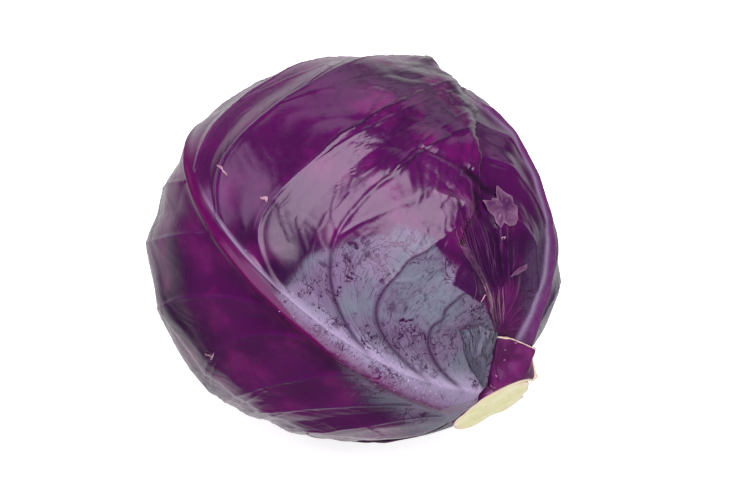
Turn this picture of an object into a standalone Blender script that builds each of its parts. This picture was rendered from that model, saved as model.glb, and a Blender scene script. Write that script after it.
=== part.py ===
"""A red cabbage, cut from the field and lying on its side.

The head is modelled upright, as it grew: crown up, stalk down, centre of the head at the origin of its
own frame. One empty then lays it on its side. Every leaf is a thin shell wrapped round the heart. A
place on the head is a polar angle, counted from the stalk up to the crown, and an azimuth round the
axis. Each leaf rests on those beneath it, so its inner face is the heart's surface raised by every leaf
that lies under that place.
"""

import math

import bmesh
import bpy
import numpy as np
from mathutils import Vector

# Driving dimensions, in metres and degrees
HEAD_RADIUS = 0.0727
BEDDING = 0.8  # the heart gives way by this share of the leaves that lie on it
# Where the head is fuller or flatter than round: polar angle, azimuth, height, reach as an angle
BULGES = (
    (148.0, 29.0, -0.0034, 42.0),
    (59.0, -134.0, -0.0058, 30.0),
    (73.0, 61.0, -0.0032, 24.0),
    (114.0, -120.0, 0.0026, 26.0),
    (111.0, -112.0, -0.0022, 10.0),
    (143.0, -84.0, -0.0016, 11.0),
    (30.0, 74.0, 0.0018, 14.0),
)
STALK_SWELL = 0.035  # the head is this share fuller towards the stalk, and slimmer at the crown
CENTRE_HEIGHT = 0.0724  # the head's centre above the surface that it lies on
CENTRE_OFFSET = (-0.0053, 0.0005)  # puts the middle of the whole cabbage over the origin
STALK_DROOP = 21.5  # the stalk points this far below the horizontal as the head lies
BLADE = 0.0008  # thinnest stretch of a leaf
GAP = 0.00150  # air between a leaf and the next
PRESSED = BLADE + GAP  # depth of one leaf where the head's weight presses them flat

# Relief on the outer face of a leaf
TENT = 0.0010  # the blade stands this much higher along a vein than midway between two
TENT_REACH = 0.0080
RIDGE = 0.0008
RIDGE_HALF_WIDTH = 0.0016
RIDGE_FADE = 0.0070  # side veins sink into the blade this close to the midrib
COVERED_RELIEF = 0.35  # share of its relief that a leaf keeps where another presses on it
PLAIN_DEPTH = BLADE + COVERED_RELIEF * (TENT + RIDGE) + GAP  # what a leaf takes up away from its midrib
RIB_SHARE = 0.22  # share of the columns of each half leaf that lie on the midrib
EDGE_TAPER = 0.0060  # the relief fades out over this distance from the margin
COVER_CLEAR = 0.0120  # an outer leaf stays raised this far past the margin of one beneath
COVER_BLEND = 0.0120  # and then comes down over this distance

# Height and half width of a full midrib by polar angle
RIB_ANGLES = (12.0, 22.0, 40.0, 65.0, 90.0, 130.0, 176.0, 205.0)
RIB_HEIGHTS = (0.0052, 0.0048, 0.0038, 0.0029, 0.0021, 0.0012, 0.0004, 0.0)
RIB_HALF_WIDTHS = (0.0068, 0.0062, 0.0050, 0.0040, 0.0033, 0.0024, 0.0014, 0.0012)

# The upper part of a leaf bends over the crown, from the first of these polar angles on
LEAN_FROM = 125.0
LEAN_FULL = 172.0

# Half width of a leaf, as an azimuth, by polar angle
WIDTH_ANGLES = (12.0, 17.0, 25.0, 50.0, 61.0, 72.0, 85.0, 100.0, 114.0, 135.0, 153.0, 160.0, 166.0)
WIDTHS = (31.0, 45.0, 59.0, 63.0, 68.0, 74.0, 83.0, 93.0, 105.0, 113.0, 112.0, 102.0, 82.0)

# Each row of a leaf starts at the midrib and swings out to the margin. A row holds its polar angle at
# the midrib, then, for either half of the leaf, how far it rises, over what azimuth, and how strong
# a vein lies along it.
FRONT_ROWS = (
    (13.0, 0.0, 10.0, 0.0, 0.0, 20.0, 0.0),
    (21.0, 24.4, 4.0, 1.0, 50.0, 32.0, 0.7),
    (32.0, 29.3, 4.0, 1.0, 50.0, 30.0, 1.0),
    (51.0, 31.1, 9.0, 1.0, 38.0, 38.0, 1.0),
    (66.0, 25.0, 6.0, 0.0, 20.0, 11.0, 1.0),
    (79.0, 19.0, 4.0, 1.0, 35.0, 22.0, 1.0),
    (105.0, 17.0, 6.0, 1.0, 36.0, 38.0, 1.0),
    (126.0, 12.5, 9.0, 1.0, 24.0, 32.0, 0.9),
    (150.0, 3.0, 12.0, 0.8, 7.0, 24.0, 0.8),
    (175.0, -11.0, 26.0, 0.0, -10.0, 26.0, 0.0),
)
PLAIN_STARTS = (13.0, 22.0, 36.0, 52.0, 70.0, 90.0, 112.0, 134.0, 154.0, 174.0)
PLAIN_RISES = (0.0, 26.0, 33.0, 33.0, 30.0, 26.0, 20.0, 11.0, 4.0, -12.0)
PLAIN_SPREAD = 15.0

ROW_STEPS = (0.0, 0.18, 0.5, 0.82)  # where the rows of a visible leaf lie between two veins
INNER_ROW_STEPS = (0.0, 0.5)
COLUMNS = 10  # per half leaf
INNER_COLUMNS = 8
RIB_COLUMNS = 2

# Stalk, measured down the axis from the head's centre
CUT_DISTANCE = 0.0827
CUT_SLANT = 8.5
CUT_SLANT_AZIMUTH = 40.0  # the stalk is longest on this side
STALK_END = 0.036
STALK_HALF_ANGLE = 12.0
STALK_SIDES = 32
STALK_RINGS = 6

# What is left of older leaves that were cut away: azimuth, half width, reach up the head, thickness
STUBS = (
    (31.0, 21.0, 21.5, 0.0028),
    (-10.0, 12.0, 27.0, 0.0012),
    (134.0, 19.0, 19.0, 0.0026),
    (-128.0, 17.0, 18.0, 0.0026),
)
STUB_ROOT_ANGLE = 8.0
STUB_CLEAR = 0.0012  # between the stubs and the leaf bases
CUT_CLEAR = 0.0003  # the stubs end this far short of the cut


def plain_rows(jitter):
    """Rows of a leaf whose veins leave the midrib alike on both sides, with small seeded differences."""
    draw = np.random.default_rng(jitter)
    rows = []
    for place, (start, rise) in enumerate(zip(PLAIN_STARTS, PLAIN_RISES)):
        inside = 0 < place < len(PLAIN_STARTS) - 1
        shift = draw.uniform(-2.0, 2.0) if inside else 0.0
        vein = draw.uniform(0.8, 1.0) if inside else 0.0
        spread = PLAIN_SPREAD + draw.uniform(-3.0, 3.0)
        rows.append((start + shift, rise, spread, vein, rise + shift, spread + 2.0, vein))
    return tuple(rows)


def make_leaf(name, azimuth, rows, breadth, rib, seed, press, wave, lean, flick=None):
    """A leaf: press counts the leaves that lie outside it over the spot on which the head rests.

    lean is how far its tip passes over the crown. flick is the polar angle and height at which the
    margin stands out furthest, if it does.
    """
    return {
        "name": name,
        "azimuth": azimuth,
        "rows": np.array(rows).T,
        "breadth": breadth,
        "rib": rib,
        "seed": seed,
        "press": press,
        "wave": wave,
        "lean": lean,
        "flick": flick,
    }


# From the heart outwards
LEAVES = (
    make_leaf("wrapper_leaf_5", 124.0, plain_rows(5), 0.96, 0.6, 5, 3, 0.0015, 10.0),
    make_leaf("wrapper_leaf_4", -96.0, plain_rows(4), 0.98, 0.6, 4, 2, 0.0015, 12.0),
    make_leaf("wrapper_leaf_3", 42.0, plain_rows(3), 1.0, 0.6, 3, 1, 0.0010, 18.0),
    make_leaf("wrapper_leaf_2", 158.0, plain_rows(2), 1.0, 1.0, 2, 0, 0.0016, 16.0),
    make_leaf("wrapper_leaf_1", -58.0, FRONT_ROWS, 1.0, 1.0, 1, 0, 0.0022, 24.0, (114.0, 0.0035)),
)
HIDDEN_LEAVES = 2  # the first of them, which show little


def unit(polar, azimuth):
    """Unit vector, in the upright head, at a polar angle from the stalk and an azimuth, in radians."""
    return np.stack(
        [np.sin(polar) * np.cos(azimuth), np.sin(polar) * np.sin(azimuth), -np.cos(polar)], axis=-1
    )


def polar_of(points):
    """Polar angle and azimuth, in degrees, of unit vectors."""
    return (
        np.degrees(np.arccos(np.clip(-points[..., 2], -1.0, 1.0))),
        np.degrees(np.arctan2(points[..., 1], points[..., 0])),
    )


def smooth_step(value):
    """0 below 0, 1 above 1, smooth between."""
    value = np.clip(value, 0.0, 1.0)
    return value * value * (3.0 - 2.0 * value)


def leaf_swing(leaf, row, column):
    """Polar angle and signed azimuth from the midrib, in degrees, of a place on a leaf.

    row counts along the leaf's rows, and column runs from -1 at one margin to 1 at the other.
    """
    start, *halves = [np.interp(row, np.arange(leaf["rows"].shape[1]), line) for line in leaf["rows"]]
    right = column >= 0
    rise = np.where(right, halves[0], halves[3])
    spread = np.where(right, halves[1], halves[4])
    width = leaf["breadth"] * np.interp(start + rise, WIDTH_ANGLES, WIDTHS)
    ripple = 1.0 + 0.02 * np.sin(row * 5.3 + leaf["seed"]) + 0.012 * np.sin(row * 11.9 + 2.0 * leaf["seed"])
    width = width * ripple
    rib = np.degrees(np.interp(start, RIB_ANGLES, RIB_HALF_WIDTHS) / (HEAD_RADIUS * np.sin(np.radians(start))))
    rib = np.minimum(rib, 0.8 * width)
    across = np.abs(column)
    beyond = np.clip((across - RIB_SHARE) / (1.0 - RIB_SHARE), 0.0, 1.0)
    swing = np.where(across < RIB_SHARE, across / RIB_SHARE * rib, rib + beyond * (width - rib))
    polar = start + rise * (1.0 - np.exp(-np.maximum(swing - rib, 0.0) / spread))
    return polar, np.sign(column) * swing


def leaf_points(leaf, row, column):
    """Unit vectors of places on a leaf, its upper part bent over the crown."""
    polar, swing = leaf_swing(leaf, row, column)
    points = unit(np.radians(polar), np.radians(leaf["azimuth"] + swing))
    _, sideways = leaf_axes(leaf)
    lean = math.radians(leaf["lean"]) * smooth_step((polar - LEAN_FROM) / (LEAN_FULL - LEAN_FROM))
    turned = points * np.cos(lean)[:, None] - np.cross(sideways, points) * np.sin(lean)[:, None]
    return turned + ((points @ sideways) * (1.0 - np.cos(lean)))[:, None] * sideways


def leaf_axes(leaf):
    """Unit vectors, square to the axis, towards the leaf's midrib and sideways across it."""
    azimuth = math.radians(leaf["azimuth"])
    return (
        np.array([math.cos(azimuth), math.sin(azimuth), 0.0]),
        np.array([-math.sin(azimuth), math.cos(azimuth), 0.0]),
    )


def leaf_outline(leaf):
    """The leaf's margin as a closed run of unit vectors."""
    last = leaf["rows"].shape[1] - 1.0
    along = np.linspace(0.0, last, 46)
    tip = np.linspace(1.0, -1.0, 30)[1:-1]
    base = np.linspace(-1.0, 1.0, 8)[1:-1]
    rows = np.concatenate([along, np.full(len(tip), last), along[::-1], np.zeros(len(base))])
    columns = np.concatenate([np.ones(len(along)), tip, -np.ones(len(along)), base])
    return leaf_points(leaf, rows, columns)


def segment_distance(points, starts, ends):
    """Distance from each point to each segment, and how far along the segment the nearest spot lies."""
    step = ends - starts
    reach = points[:, None, :] - starts[None, :, :]
    along = np.clip((reach * step).sum(-1) / np.maximum((step * step).sum(-1), 1e-12), 0.0, 1.0)
    return np.linalg.norm(reach - along[..., None] * step, axis=-1), along


def flat_map(points, centre):
    """Points of the unit sphere laid flat round a centre, true along every line through it."""
    side = np.cross(centre, (0.0, 0.0, 1.0))
    side /= np.linalg.norm(side)
    up = np.cross(side, centre)
    arc = np.arccos(np.clip(points @ centre, -1.0, 1.0))
    x, y = points @ side, points @ up
    return np.stack([x, y], axis=-1) * (arc / np.maximum(np.hypot(x, y), 1e-9))[:, None]


def inside_distance(leaf, points):
    """Distance from each place to the leaf's margin along the head, positive on the leaf."""
    outline = leaf_outline(leaf)
    following = np.roll(outline, -1, axis=0)
    distance, _ = segment_distance(points, outline, following)
    centre = unit(math.radians(95.0), math.radians(leaf["azimuth"]))
    place = flat_map(points, centre)
    corner, after = flat_map(outline, centre), flat_map(following, centre)
    x, y = place[:, :1], place[:, 1:]
    straddles = (corner[:, 1] > y) != (after[:, 1] > y)
    rise = np.where(after[:, 1] == corner[:, 1], 1e-12, after[:, 1] - corner[:, 1])
    crossing = corner[:, 0] + (y - corner[:, 1]) * (after[:, 0] - corner[:, 0]) / rise
    inside = (straddles & (x < crossing)).sum(axis=1) % 2 == 1
    return np.where(inside, 1.0, -1.0) * distance.min(axis=1) * HEAD_RADIUS


def cover(leaf, points):
    """1 where the leaf lies, and a little past it, falling to 0 further off."""
    return smooth_step((inside_distance(leaf, points) + COVER_CLEAR + COVER_BLEND) / COVER_BLEND)


def rib_size(leaf, polar):
    """Height and half width of the leaf's midrib at a polar angle."""
    return (
        leaf["rib"] * np.interp(polar, RIB_ANGLES, RIB_HEIGHTS),
        np.interp(polar, RIB_ANGLES, RIB_HALF_WIDTHS),
    )


def rib_distance(leaf, points):
    """Distance from each place to the leaf's midrib, and the polar angle there, over 180 past the crown."""
    outwards, sideways = leaf_axes(leaf)
    along = np.degrees(np.arctan2(points @ outwards, -points[..., 2])) % 360.0
    return np.abs(np.arcsin(np.clip(points @ sideways, -1.0, 1.0))) * HEAD_RADIUS, along


def veins(leaf):
    """Every side vein of the leaf as segments: starts, ends, and strength at the start of each."""
    starts, ends, strengths = [], [], []
    for half, strength_row in ((1.0, 3), (-1.0, 6)):
        for row, strength in enumerate(leaf["rows"][strength_row]):
            if strength == 0.0:
                continue
            columns = np.linspace(0.6 * RIB_SHARE, 0.96, 17)
            line = leaf_points(leaf, np.full(len(columns), float(row)), half * columns)
            starts.append(line[:-1])
            ends.append(line[1:])
            strengths.append(strength * (1.0 - 0.6 * columns[:-1]))
    return np.concatenate(starts), np.concatenate(ends), np.concatenate(strengths)


def leaf_relief(leaf, points):
    """Height of the leaf's outer face above its thinnest blade, from its midrib and side veins."""
    distance, polar = rib_distance(leaf, points)
    height, half_width = rib_size(leaf, polar)
    rib = height * (1.0 - smooth_step(distance / half_width))
    starts, ends, strengths = veins(leaf)
    gaps, _ = segment_distance(points, starts, ends)
    nearest = gaps.argmin(axis=1)
    gap = gaps.min(axis=1) * HEAD_RADIUS
    beside = np.maximum(distance - half_width, 0.0)
    ridge = RIDGE * strengths[nearest] * np.exp(-((gap / RIDGE_HALF_WIDTH) ** 2))
    ridge = ridge * smooth_step(beside / RIDGE_FADE)
    tent = TENT * np.exp(-((np.minimum(gap, beside) / TENT_REACH) ** 2))
    return rib + ridge + tent


def layer_depth(leaf, points):
    """What a leaf takes up under the next one out, air included."""
    distance, polar = rib_distance(leaf, points)
    height, half_width = rib_size(leaf, polar)
    bulge = height * (1.0 - smooth_step((distance / half_width - 1.4) / 1.6))
    return PLAIN_DEPTH + COVERED_RELIEF * bulge


def heart_radius(points):
    """Radius of the heart: the head's own shape, less where leaves lie on it and bed into it."""
    pile = sum(cover(leaf, points) for leaf in LEAVES) * PLAIN_DEPTH
    radius = HEAD_RADIUS * (1.0 - STALK_SWELL * points[..., 2]) - BEDDING * pile
    for polar, azimuth, height, reach in BULGES:
        centre = unit(math.radians(polar), math.radians(azimuth))
        angle = np.degrees(np.arccos(np.clip(points @ centre, -1.0, 1.0)))
        radius = radius + height * np.exp(-((angle / reach) ** 2))
    return radius


def inner_radius(order, points):
    """Radius of the inner face of the leaf that is order-th from the heart."""
    radius = heart_radius(points) + GAP
    for beneath in LEAVES[:order]:
        radius = radius + cover(beneath, points) * layer_depth(beneath, points)
    return radius


def margin_lift(leaf, row, column, points, free):
    """How far a free margin stands off the head, in waves."""
    polar, _ = polar_of(points)
    edge = np.exp(-(1.0 - np.abs(column)) / 0.09)
    lift = leaf["wave"] * (0.55 + 0.45 * np.sin(row * 7.1 + leaf["seed"] * 1.7))
    if leaf["flick"]:
        angle, height = leaf["flick"]
        lift = lift + (column > 0) * height * np.exp(-(((polar - angle) / 7.0) ** 2))
    return lift * edge * free * smooth_step((polar - 24.0) / 20.0)


def rest_limit(points, depth):
    """Largest radius that stays above the surface that the head rests on, by that depth."""
    tilt = math.radians(90.0 - STALK_DROOP)
    down = np.array([-math.sin(tilt), 0.0, -math.cos(tilt)])
    return (CENTRE_HEIGHT - depth) / np.maximum(points @ down, 0.3)


def leaf_faces(order, row, column):
    """Points of the inner and of the outer face of a leaf at the same places."""
    leaf = LEAVES[order]
    points = leaf_points(leaf, row, column)
    above = np.zeros(len(points))
    for outside in LEAVES[order + 1 :]:
        above = np.maximum(above, cover(outside, points))
    taper = smooth_step(np.maximum(inside_distance(leaf, points), 0.0) / EDGE_TAPER)
    share = taper * (1.0 - (1.0 - COVERED_RELIEF) * above)
    inner = inner_radius(order, points) + margin_lift(leaf, row, column, points, 1.0 - above)
    outer = inner + BLADE + share * leaf_relief(leaf, points)
    depth = leaf["press"] * PRESSED
    inner = np.minimum(inner, rest_limit(points, depth + BLADE))
    outer = np.minimum(outer, rest_limit(points, depth))
    return inner[:, None] * points, outer[:, None] * points


def stations(count_rows, row_steps, columns):
    """Rows and columns of a leaf's mesh: a row along each vein and others between, and the midrib's own columns."""
    rows = [whole + step for whole in range(count_rows - 1) for step in row_steps]
    rows.append(count_rows - 1.0)
    rib = np.linspace(0.0, RIB_SHARE, RIB_COLUMNS + 1)
    blade = np.linspace(RIB_SHARE, 1.0, columns - RIB_COLUMNS + 1)[1:]
    half = np.concatenate([rib, blade])
    return np.array(rows), np.concatenate([-half[:0:-1], half])


def shell(name, inner, outer, rows, columns):
    """A closed shell between two grids of points, split into triangles alike on both faces.

    Each quad is split along the diagonal that crosses the swing of the rows on its half of the leaf.
    """
    faces = []
    count = rows * columns
    middle = (columns - 1) // 2
    for along in range(rows - 1):
        for across in range(columns - 1):
            near = along * columns + across
            far = near + columns
            if across >= middle:
                split = ((near, near + 1, far), (near + 1, far + 1, far))
            else:
                split = ((near, near + 1, far + 1), (near, far + 1, far))
            for first, second, third in split:
                faces.append((first, third, second))
                faces.append((first + count, second + count, third + count))
    first_row = list(range(columns))
    last_row = [(rows - 1) * columns + across for across in range(columns)]
    right = [along * columns + columns - 1 for along in range(rows)]
    left = [along * columns for along in range(rows)]
    rim = first_row + right[1:] + last_row[-2::-1] + left[-2:0:-1]
    for place, corner in enumerate(rim):
        following = rim[(place + 1) % len(rim)]
        faces.append((corner, following, following + count))
        faces.append((corner, following + count, corner + count))
    data = bpy.data.meshes.new(name)
    data.from_pydata(np.concatenate([inner, outer]).tolist(), [], faces)
    return data


def add(name, data, material, collection, parent=None):
    """A node of the cabbage from its mesh, shaded smooth except across sharp edges."""
    data.materials.append(material)
    data.shade_smooth()
    data.set_sharp_from_angle(angle=math.radians(40.0))
    node = bpy.data.objects.new(name, data)
    node.parent = parent
    collection.objects.link(node)
    return node


def make_leaf_node(order, material, collection, parent):
    """One wrapper leaf."""
    leaf = LEAVES[order]
    hidden = order < HIDDEN_LEAVES
    rows, columns = stations(
        leaf["rows"].shape[1],
        INNER_ROW_STEPS if hidden else ROW_STEPS,
        INNER_COLUMNS if hidden else COLUMNS,
    )
    row, column = (grid.ravel() for grid in np.meshgrid(rows, columns, indexing="ij"))
    inner, outer = leaf_faces(order, row, column)
    data = shell(leaf["name"], inner, outer, len(rows), len(columns))
    return add(leaf["name"], data, material, collection, parent)


def stalk_radius(distance, azimuth):
    """Radius of the stalk at a distance from the head's centre: a cone, with the swellings of old leaf bases."""
    swelling = 1.0 + 0.035 * math.cos(3.0 * azimuth + 0.6) + 0.03 * math.cos(5.0 * azimuth + 2.0)
    return distance * math.tan(math.radians(STALK_HALF_ANGLE)) * (swelling - 0.065)


def make_stalk(material, collection, parent):
    """The stalk: its slanting cut, its cone inside the head, and the stubs of older leaves grown to it."""
    length = CUT_DISTANCE - STALK_END
    mesh = bmesh.new()
    bmesh.ops.create_cone(
        mesh, cap_ends=True, segments=STALK_SIDES, radius1=1.0, radius2=1.0, depth=length
    )
    sides = [e for e in mesh.edges if abs(e.verts[0].co.z - e.verts[1].co.z) > length / 2.0]
    bmesh.ops.subdivide_edges(mesh, edges=sides, cuts=STALK_RINGS)
    for vertex in mesh.verts:
        azimuth = math.atan2(vertex.co.y, vertex.co.x)
        distance = length / 2.0 - vertex.co.z + STALK_END
        radius = stalk_radius(distance, azimuth)
        share = (distance - STALK_END) / length
        slant = radius * math.cos(azimuth - math.radians(CUT_SLANT_AZIMUTH)) * math.tan(math.radians(CUT_SLANT))
        vertex.co = (radius * math.cos(azimuth), radius * math.sin(azimuth), -distance - slant * share**4)
    bmesh.ops.triangulate(mesh, faces=mesh.faces[:])
    bmesh.ops.recalc_face_normals(mesh, faces=mesh.faces[:])
    data = bpy.data.meshes.new("stalk")
    mesh.to_mesh(data)
    mesh.free()
    stalk = add("stalk", data, material, collection)
    stubs = bpy.data.collections.new("stubs")
    for place, stub in enumerate(STUBS):
        add(f"stub_{place}", stub_mesh(stub), material, stubs)
    join_all(stalk, stubs)
    stalk.parent = parent
    return stalk


def stub_mesh(stub):
    """What is left of a leaf's base: a tab that lies on the wrapper leaves and thins towards its torn end."""
    azimuth, half_width, reach, thickness = stub
    rows, columns = np.linspace(0.0, 1.0, 8), np.linspace(-1.0, 1.0, 9)
    row, column = (grid.ravel() for grid in np.meshgrid(rows, columns, indexing="ij"))
    ragged = 1.0 - 0.10 * column**2 + 0.03 * np.sin(column * 5.0 + azimuth)
    polar = STUB_ROOT_ANGLE + (reach * ragged - STUB_ROOT_ANGLE) * row
    points = unit(np.radians(polar), np.radians(azimuth + column * half_width))
    inner = top_radius(points) + STUB_CLEAR
    outer = inner + thickness * (1.0 - 0.45 * row) * (1.0 - 0.35 * column**4)
    limit = cut_limit(points)
    inner, outer = np.minimum(inner, limit - thickness), np.minimum(outer, limit)
    return shell("stub", inner[:, None] * points, outer[:, None] * points, len(rows), len(columns))


def top_radius(points):
    """Radius of whatever lies outermost on the head."""
    top = heart_radius(points)
    for order, leaf in enumerate(LEAVES):
        own = smooth_step((inside_distance(leaf, points) + GAP) / GAP)
        taper = smooth_step(np.maximum(inside_distance(leaf, points), 0.0) / EDGE_TAPER)
        relief = BLADE + taper * leaf_relief(leaf, points)
        top = np.maximum(top, inner_radius(order, points) + own * relief)
    return top


def cut_limit(points):
    """Largest radius that stays inside the slanting cut of the stalk."""
    slant = math.radians(CUT_SLANT)
    lean = math.radians(CUT_SLANT_AZIMUTH)
    facing = -points[:, 2] - math.tan(slant) * (
        points[:, 0] * math.cos(lean) + points[:, 1] * math.sin(lean)
    )
    return (CUT_DISTANCE - CUT_CLEAR) / np.maximum(facing, 0.2)


def join_all(target, extras):
    """Joins a collection's objects to the target in one Boolean union, and removes them."""
    modifier = target.modifiers.new("join", "BOOLEAN")
    modifier.operation = "UNION"
    modifier.operand_type = "COLLECTION"
    modifier.collection = extras
    bpy.context.scene.collection.children.link(extras)
    apply_modifiers(target)
    for extra in list(extras.objects):
        bpy.data.objects.remove(extra)
    bpy.data.collections.remove(extras)


def apply_modifiers(target):
    """Replaces an object's mesh by what its modifiers make of it."""
    bpy.context.view_layer.update()
    evaluated = target.evaluated_get(bpy.context.evaluated_depsgraph_get())
    data = bpy.data.meshes.new_from_object(evaluated)
    target.modifiers.clear()
    target.data = data


def heart_relief(points):
    """Folded tips of the inner leaves, which meet in a slow swirl at the crown."""
    polar, azimuth = polar_of(points)
    turn = (azimuth / 360.0 * 3.0 + polar / 70.0) % 1.0
    return 0.0016 * turn * smooth_step((polar - 120.0) / 30.0) * smooth_step((179.0 - polar) / 12.0)


def make_heart(material, collection, parent):
    """The dense heart of inner leaves, with a plain hole for the stalk."""
    mesh = bmesh.new()
    bmesh.ops.create_icosphere(mesh, subdivisions=4, radius=1.0)
    points = np.array([vertex.co.normalized() for vertex in mesh.verts])
    radius = heart_radius(points) - 0.0016 + heart_relief(points)
    heart_depth = (LEAVES[0]["press"] + 1.0) * PRESSED
    radius = np.minimum(radius, rest_limit(points, heart_depth))
    for vertex, place in zip(mesh.verts, radius[:, None] * points):
        vertex.co = Vector(place)
    data = bpy.data.meshes.new("heart")
    mesh.to_mesh(data)
    mesh.free()
    heart = add("heart", data, material, collection)
    hole = hole_for_stalk()
    modifier = heart.modifiers.new("stalk hole", "BOOLEAN")
    modifier.operation = "DIFFERENCE"
    modifier.object = hole
    apply_modifiers(heart)
    bpy.data.objects.remove(hole)
    heart.parent = parent
    return heart


def hole_for_stalk():
    """A cone a little wider and deeper than the stalk."""
    near, far = STALK_END - GAP, CUT_DISTANCE + 0.01
    slope = math.tan(math.radians(STALK_HALF_ANGLE + 0.4))
    mesh = bmesh.new()
    bmesh.ops.create_cone(
        mesh,
        cap_ends=True,
        segments=STALK_SIDES,
        radius1=far * slope,
        radius2=near * slope + GAP,
        depth=far - near,
    )
    bmesh.ops.translate(mesh, verts=mesh.verts[:], vec=(0.0, 0.0, -(far + near) / 2.0))
    data = bpy.data.meshes.new("hole")
    mesh.to_mesh(data)
    mesh.free()
    hole = bpy.data.objects.new("hole", data)
    hole.hide_render = True
    hole.display_type = "WIRE"
    bpy.context.scene.collection.objects.link(hole)
    return hole


def make_material(name, colour, roughness):
    """A plain Principled material."""
    material = bpy.data.materials.new(name)
    material.use_nodes = True
    shader = material.node_tree.nodes["Principled BSDF"]
    shader.inputs["Base Color"].default_value = (*colour, 1.0)
    shader.inputs["Roughness"].default_value = roughness
    shader.inputs["Metallic"].default_value = 0.0
    return material


def main():
    for old in list(bpy.data.objects):
        bpy.data.objects.remove(old)
    collection = bpy.data.collections.new("red_cabbage")
    bpy.context.scene.collection.children.link(collection)
    lying = bpy.data.objects.new("head_laid_down", None)
    lying.location = (*CENTRE_OFFSET, CENTRE_HEIGHT)
    lying.rotation_euler = (0.0, -math.radians(90.0 - STALK_DROOP), 0.0)
    collection.objects.link(lying)
    outer_skin = make_material("waxy_purple_leaf", (0.150, 0.014, 0.130), 0.30)
    inner_skin = make_material("pale_purple_leaf", (0.210, 0.030, 0.190), 0.40)
    flesh = make_material("cut_stalk", (0.690, 0.640, 0.400), 0.60)
    make_stalk(flesh, collection, lying)
    make_heart(inner_skin, collection, lying)
    for order in range(len(LEAVES)):
        make_leaf_node(order, outer_skin, collection, lying)


main()
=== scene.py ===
"""Looks of a red cabbage lying on its side: fine wrapper leaves with veins, a waxy bloom and a cut stalk.

The head is made upright, crown up and stalk down, round its own centre, and each finished mesh is then
laid on its side. A place on the head is a polar angle, counted from the stalk up to the crown, and an
azimuth round the axis.
"""

import math

import bmesh
import bpy
import numpy as np
from mathutils import Matrix, Vector, kdtree
from mathutils.bvhtree import BVHTree


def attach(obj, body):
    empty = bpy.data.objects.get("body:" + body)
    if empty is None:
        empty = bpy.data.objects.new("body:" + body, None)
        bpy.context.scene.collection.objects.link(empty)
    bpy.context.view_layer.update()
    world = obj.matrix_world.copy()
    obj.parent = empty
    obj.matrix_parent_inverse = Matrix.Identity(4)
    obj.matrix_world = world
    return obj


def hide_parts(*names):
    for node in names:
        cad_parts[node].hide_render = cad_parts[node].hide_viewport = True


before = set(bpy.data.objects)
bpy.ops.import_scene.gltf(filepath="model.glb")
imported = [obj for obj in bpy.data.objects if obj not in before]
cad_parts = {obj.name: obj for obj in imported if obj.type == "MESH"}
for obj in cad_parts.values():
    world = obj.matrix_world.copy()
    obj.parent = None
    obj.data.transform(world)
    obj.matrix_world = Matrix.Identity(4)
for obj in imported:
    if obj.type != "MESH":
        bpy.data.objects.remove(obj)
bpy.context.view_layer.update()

# The head as it lies
HEAD_RADIUS = 0.0737
# Share of the pile of leaves by which the head gives way under them
BEDDING = 0.8
# The head is fuller towards its stalk by this share of its radius
STALK_SWELL = 0.035
CENTRE = Vector((-0.0053, 0.0005, 0.0724))
# Degrees by which the stalk hangs below level
STALK_DROOP = 21.5
LAID_DOWN = Matrix.Translation(CENTRE) @ Matrix.Rotation(-math.radians(90.0 - STALK_DROOP), 4, "Y")
# Where the head is fuller or flatter than round: polar angle, azimuth, height, reach as an angle
BULGES = (
    (148.0, 29.0, -0.0034, 42.0),
    (59.0, -134.0, -0.0058, 30.0),
    (73.0, 61.0, -0.0032, 24.0),
    (114.0, -120.0, 0.0026, 26.0),
    (111.0, -112.0, -0.0022, 10.0),
    (143.0, -84.0, -0.0016, 11.0),
    (30.0, 74.0, 0.0018, 14.0),
)

# Cut of the stalk: how far it lies from the head's centre, and its slant
CUT_DISTANCE = 0.0803
CUT_SLANT = 12.6
CUT_SLANT_AZIMUTH = 73.0

# Leaves: thickness inside and at the margin, the width of that thin margin, and the air between two leaves
BLADE = 0.0007
EDGE_BLADE = 0.0004
THIN_MARGIN = 0.004
GAP = 0.00025
# The blade rises towards its midrib and main veins like a tent: height and reach
TENT = 0.0015
TENT_REACH = 0.0075
# Share of a leaf's relief that is left where another leaf covers it, and its usual height
COVERED_RELIEF = 0.35
USUAL_RELIEF = 0.0018
PLAIN_DEPTH = BLADE + COVERED_RELIEF * USUAL_RELIEF + GAP
# Each layer is pressed in by so much where the head lies on the floor
PRESSED = 0.0023
# Least share by which a place has to face the floor or the cut for that limit to be worked out
LEAST_FACING_FLOOR = 0.3
LEAST_FACING_CUT = 0.2
# How far inside the cut the bases of all leaves but the front one end
COVERED_BASE = 0.0055
# Room between the leaves' bases and the plane of the cut
CUT_CLEAR = 0.0002
# Where one leaf starts to lift over another's margin, and how wide the lift is
COVER_CLEAR = 0.0030
COVER_BLEND = 0.0130
# Midrib: its share of a half leaf's columns, and its size at polar angles counted along it
RIB_SHARE = 0.22
RIB_ANGLES = (12.0, 22.0, 40.0, 65.0, 90.0, 130.0, 176.0, 205.0)
RIB_HEIGHTS = (0.0082, 0.0054, 0.0038, 0.0029, 0.0021, 0.0012, 0.0004, 0.0)
RIB_HALF_WIDTHS = (0.0068, 0.0062, 0.0050, 0.0040, 0.0033, 0.0024, 0.0014, 0.0012)
RIB_SMOOTHING = (-10.0, -5.0, 0.0, 5.0, 10.0)
# How far the midrib's foot runs out under the next leaf, in half widths
RIB_FOOT = 1.6
# A leaf leans aside over the crown between these polar angles
LEAN_FROM = 125.0
LEAN_FULL = 172.0
# The midrib of a bent leaf starts to curve aside at this polar angle, over so many degrees
BEND_FROM = 52.0
BEND_REACH = 40.0
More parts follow.
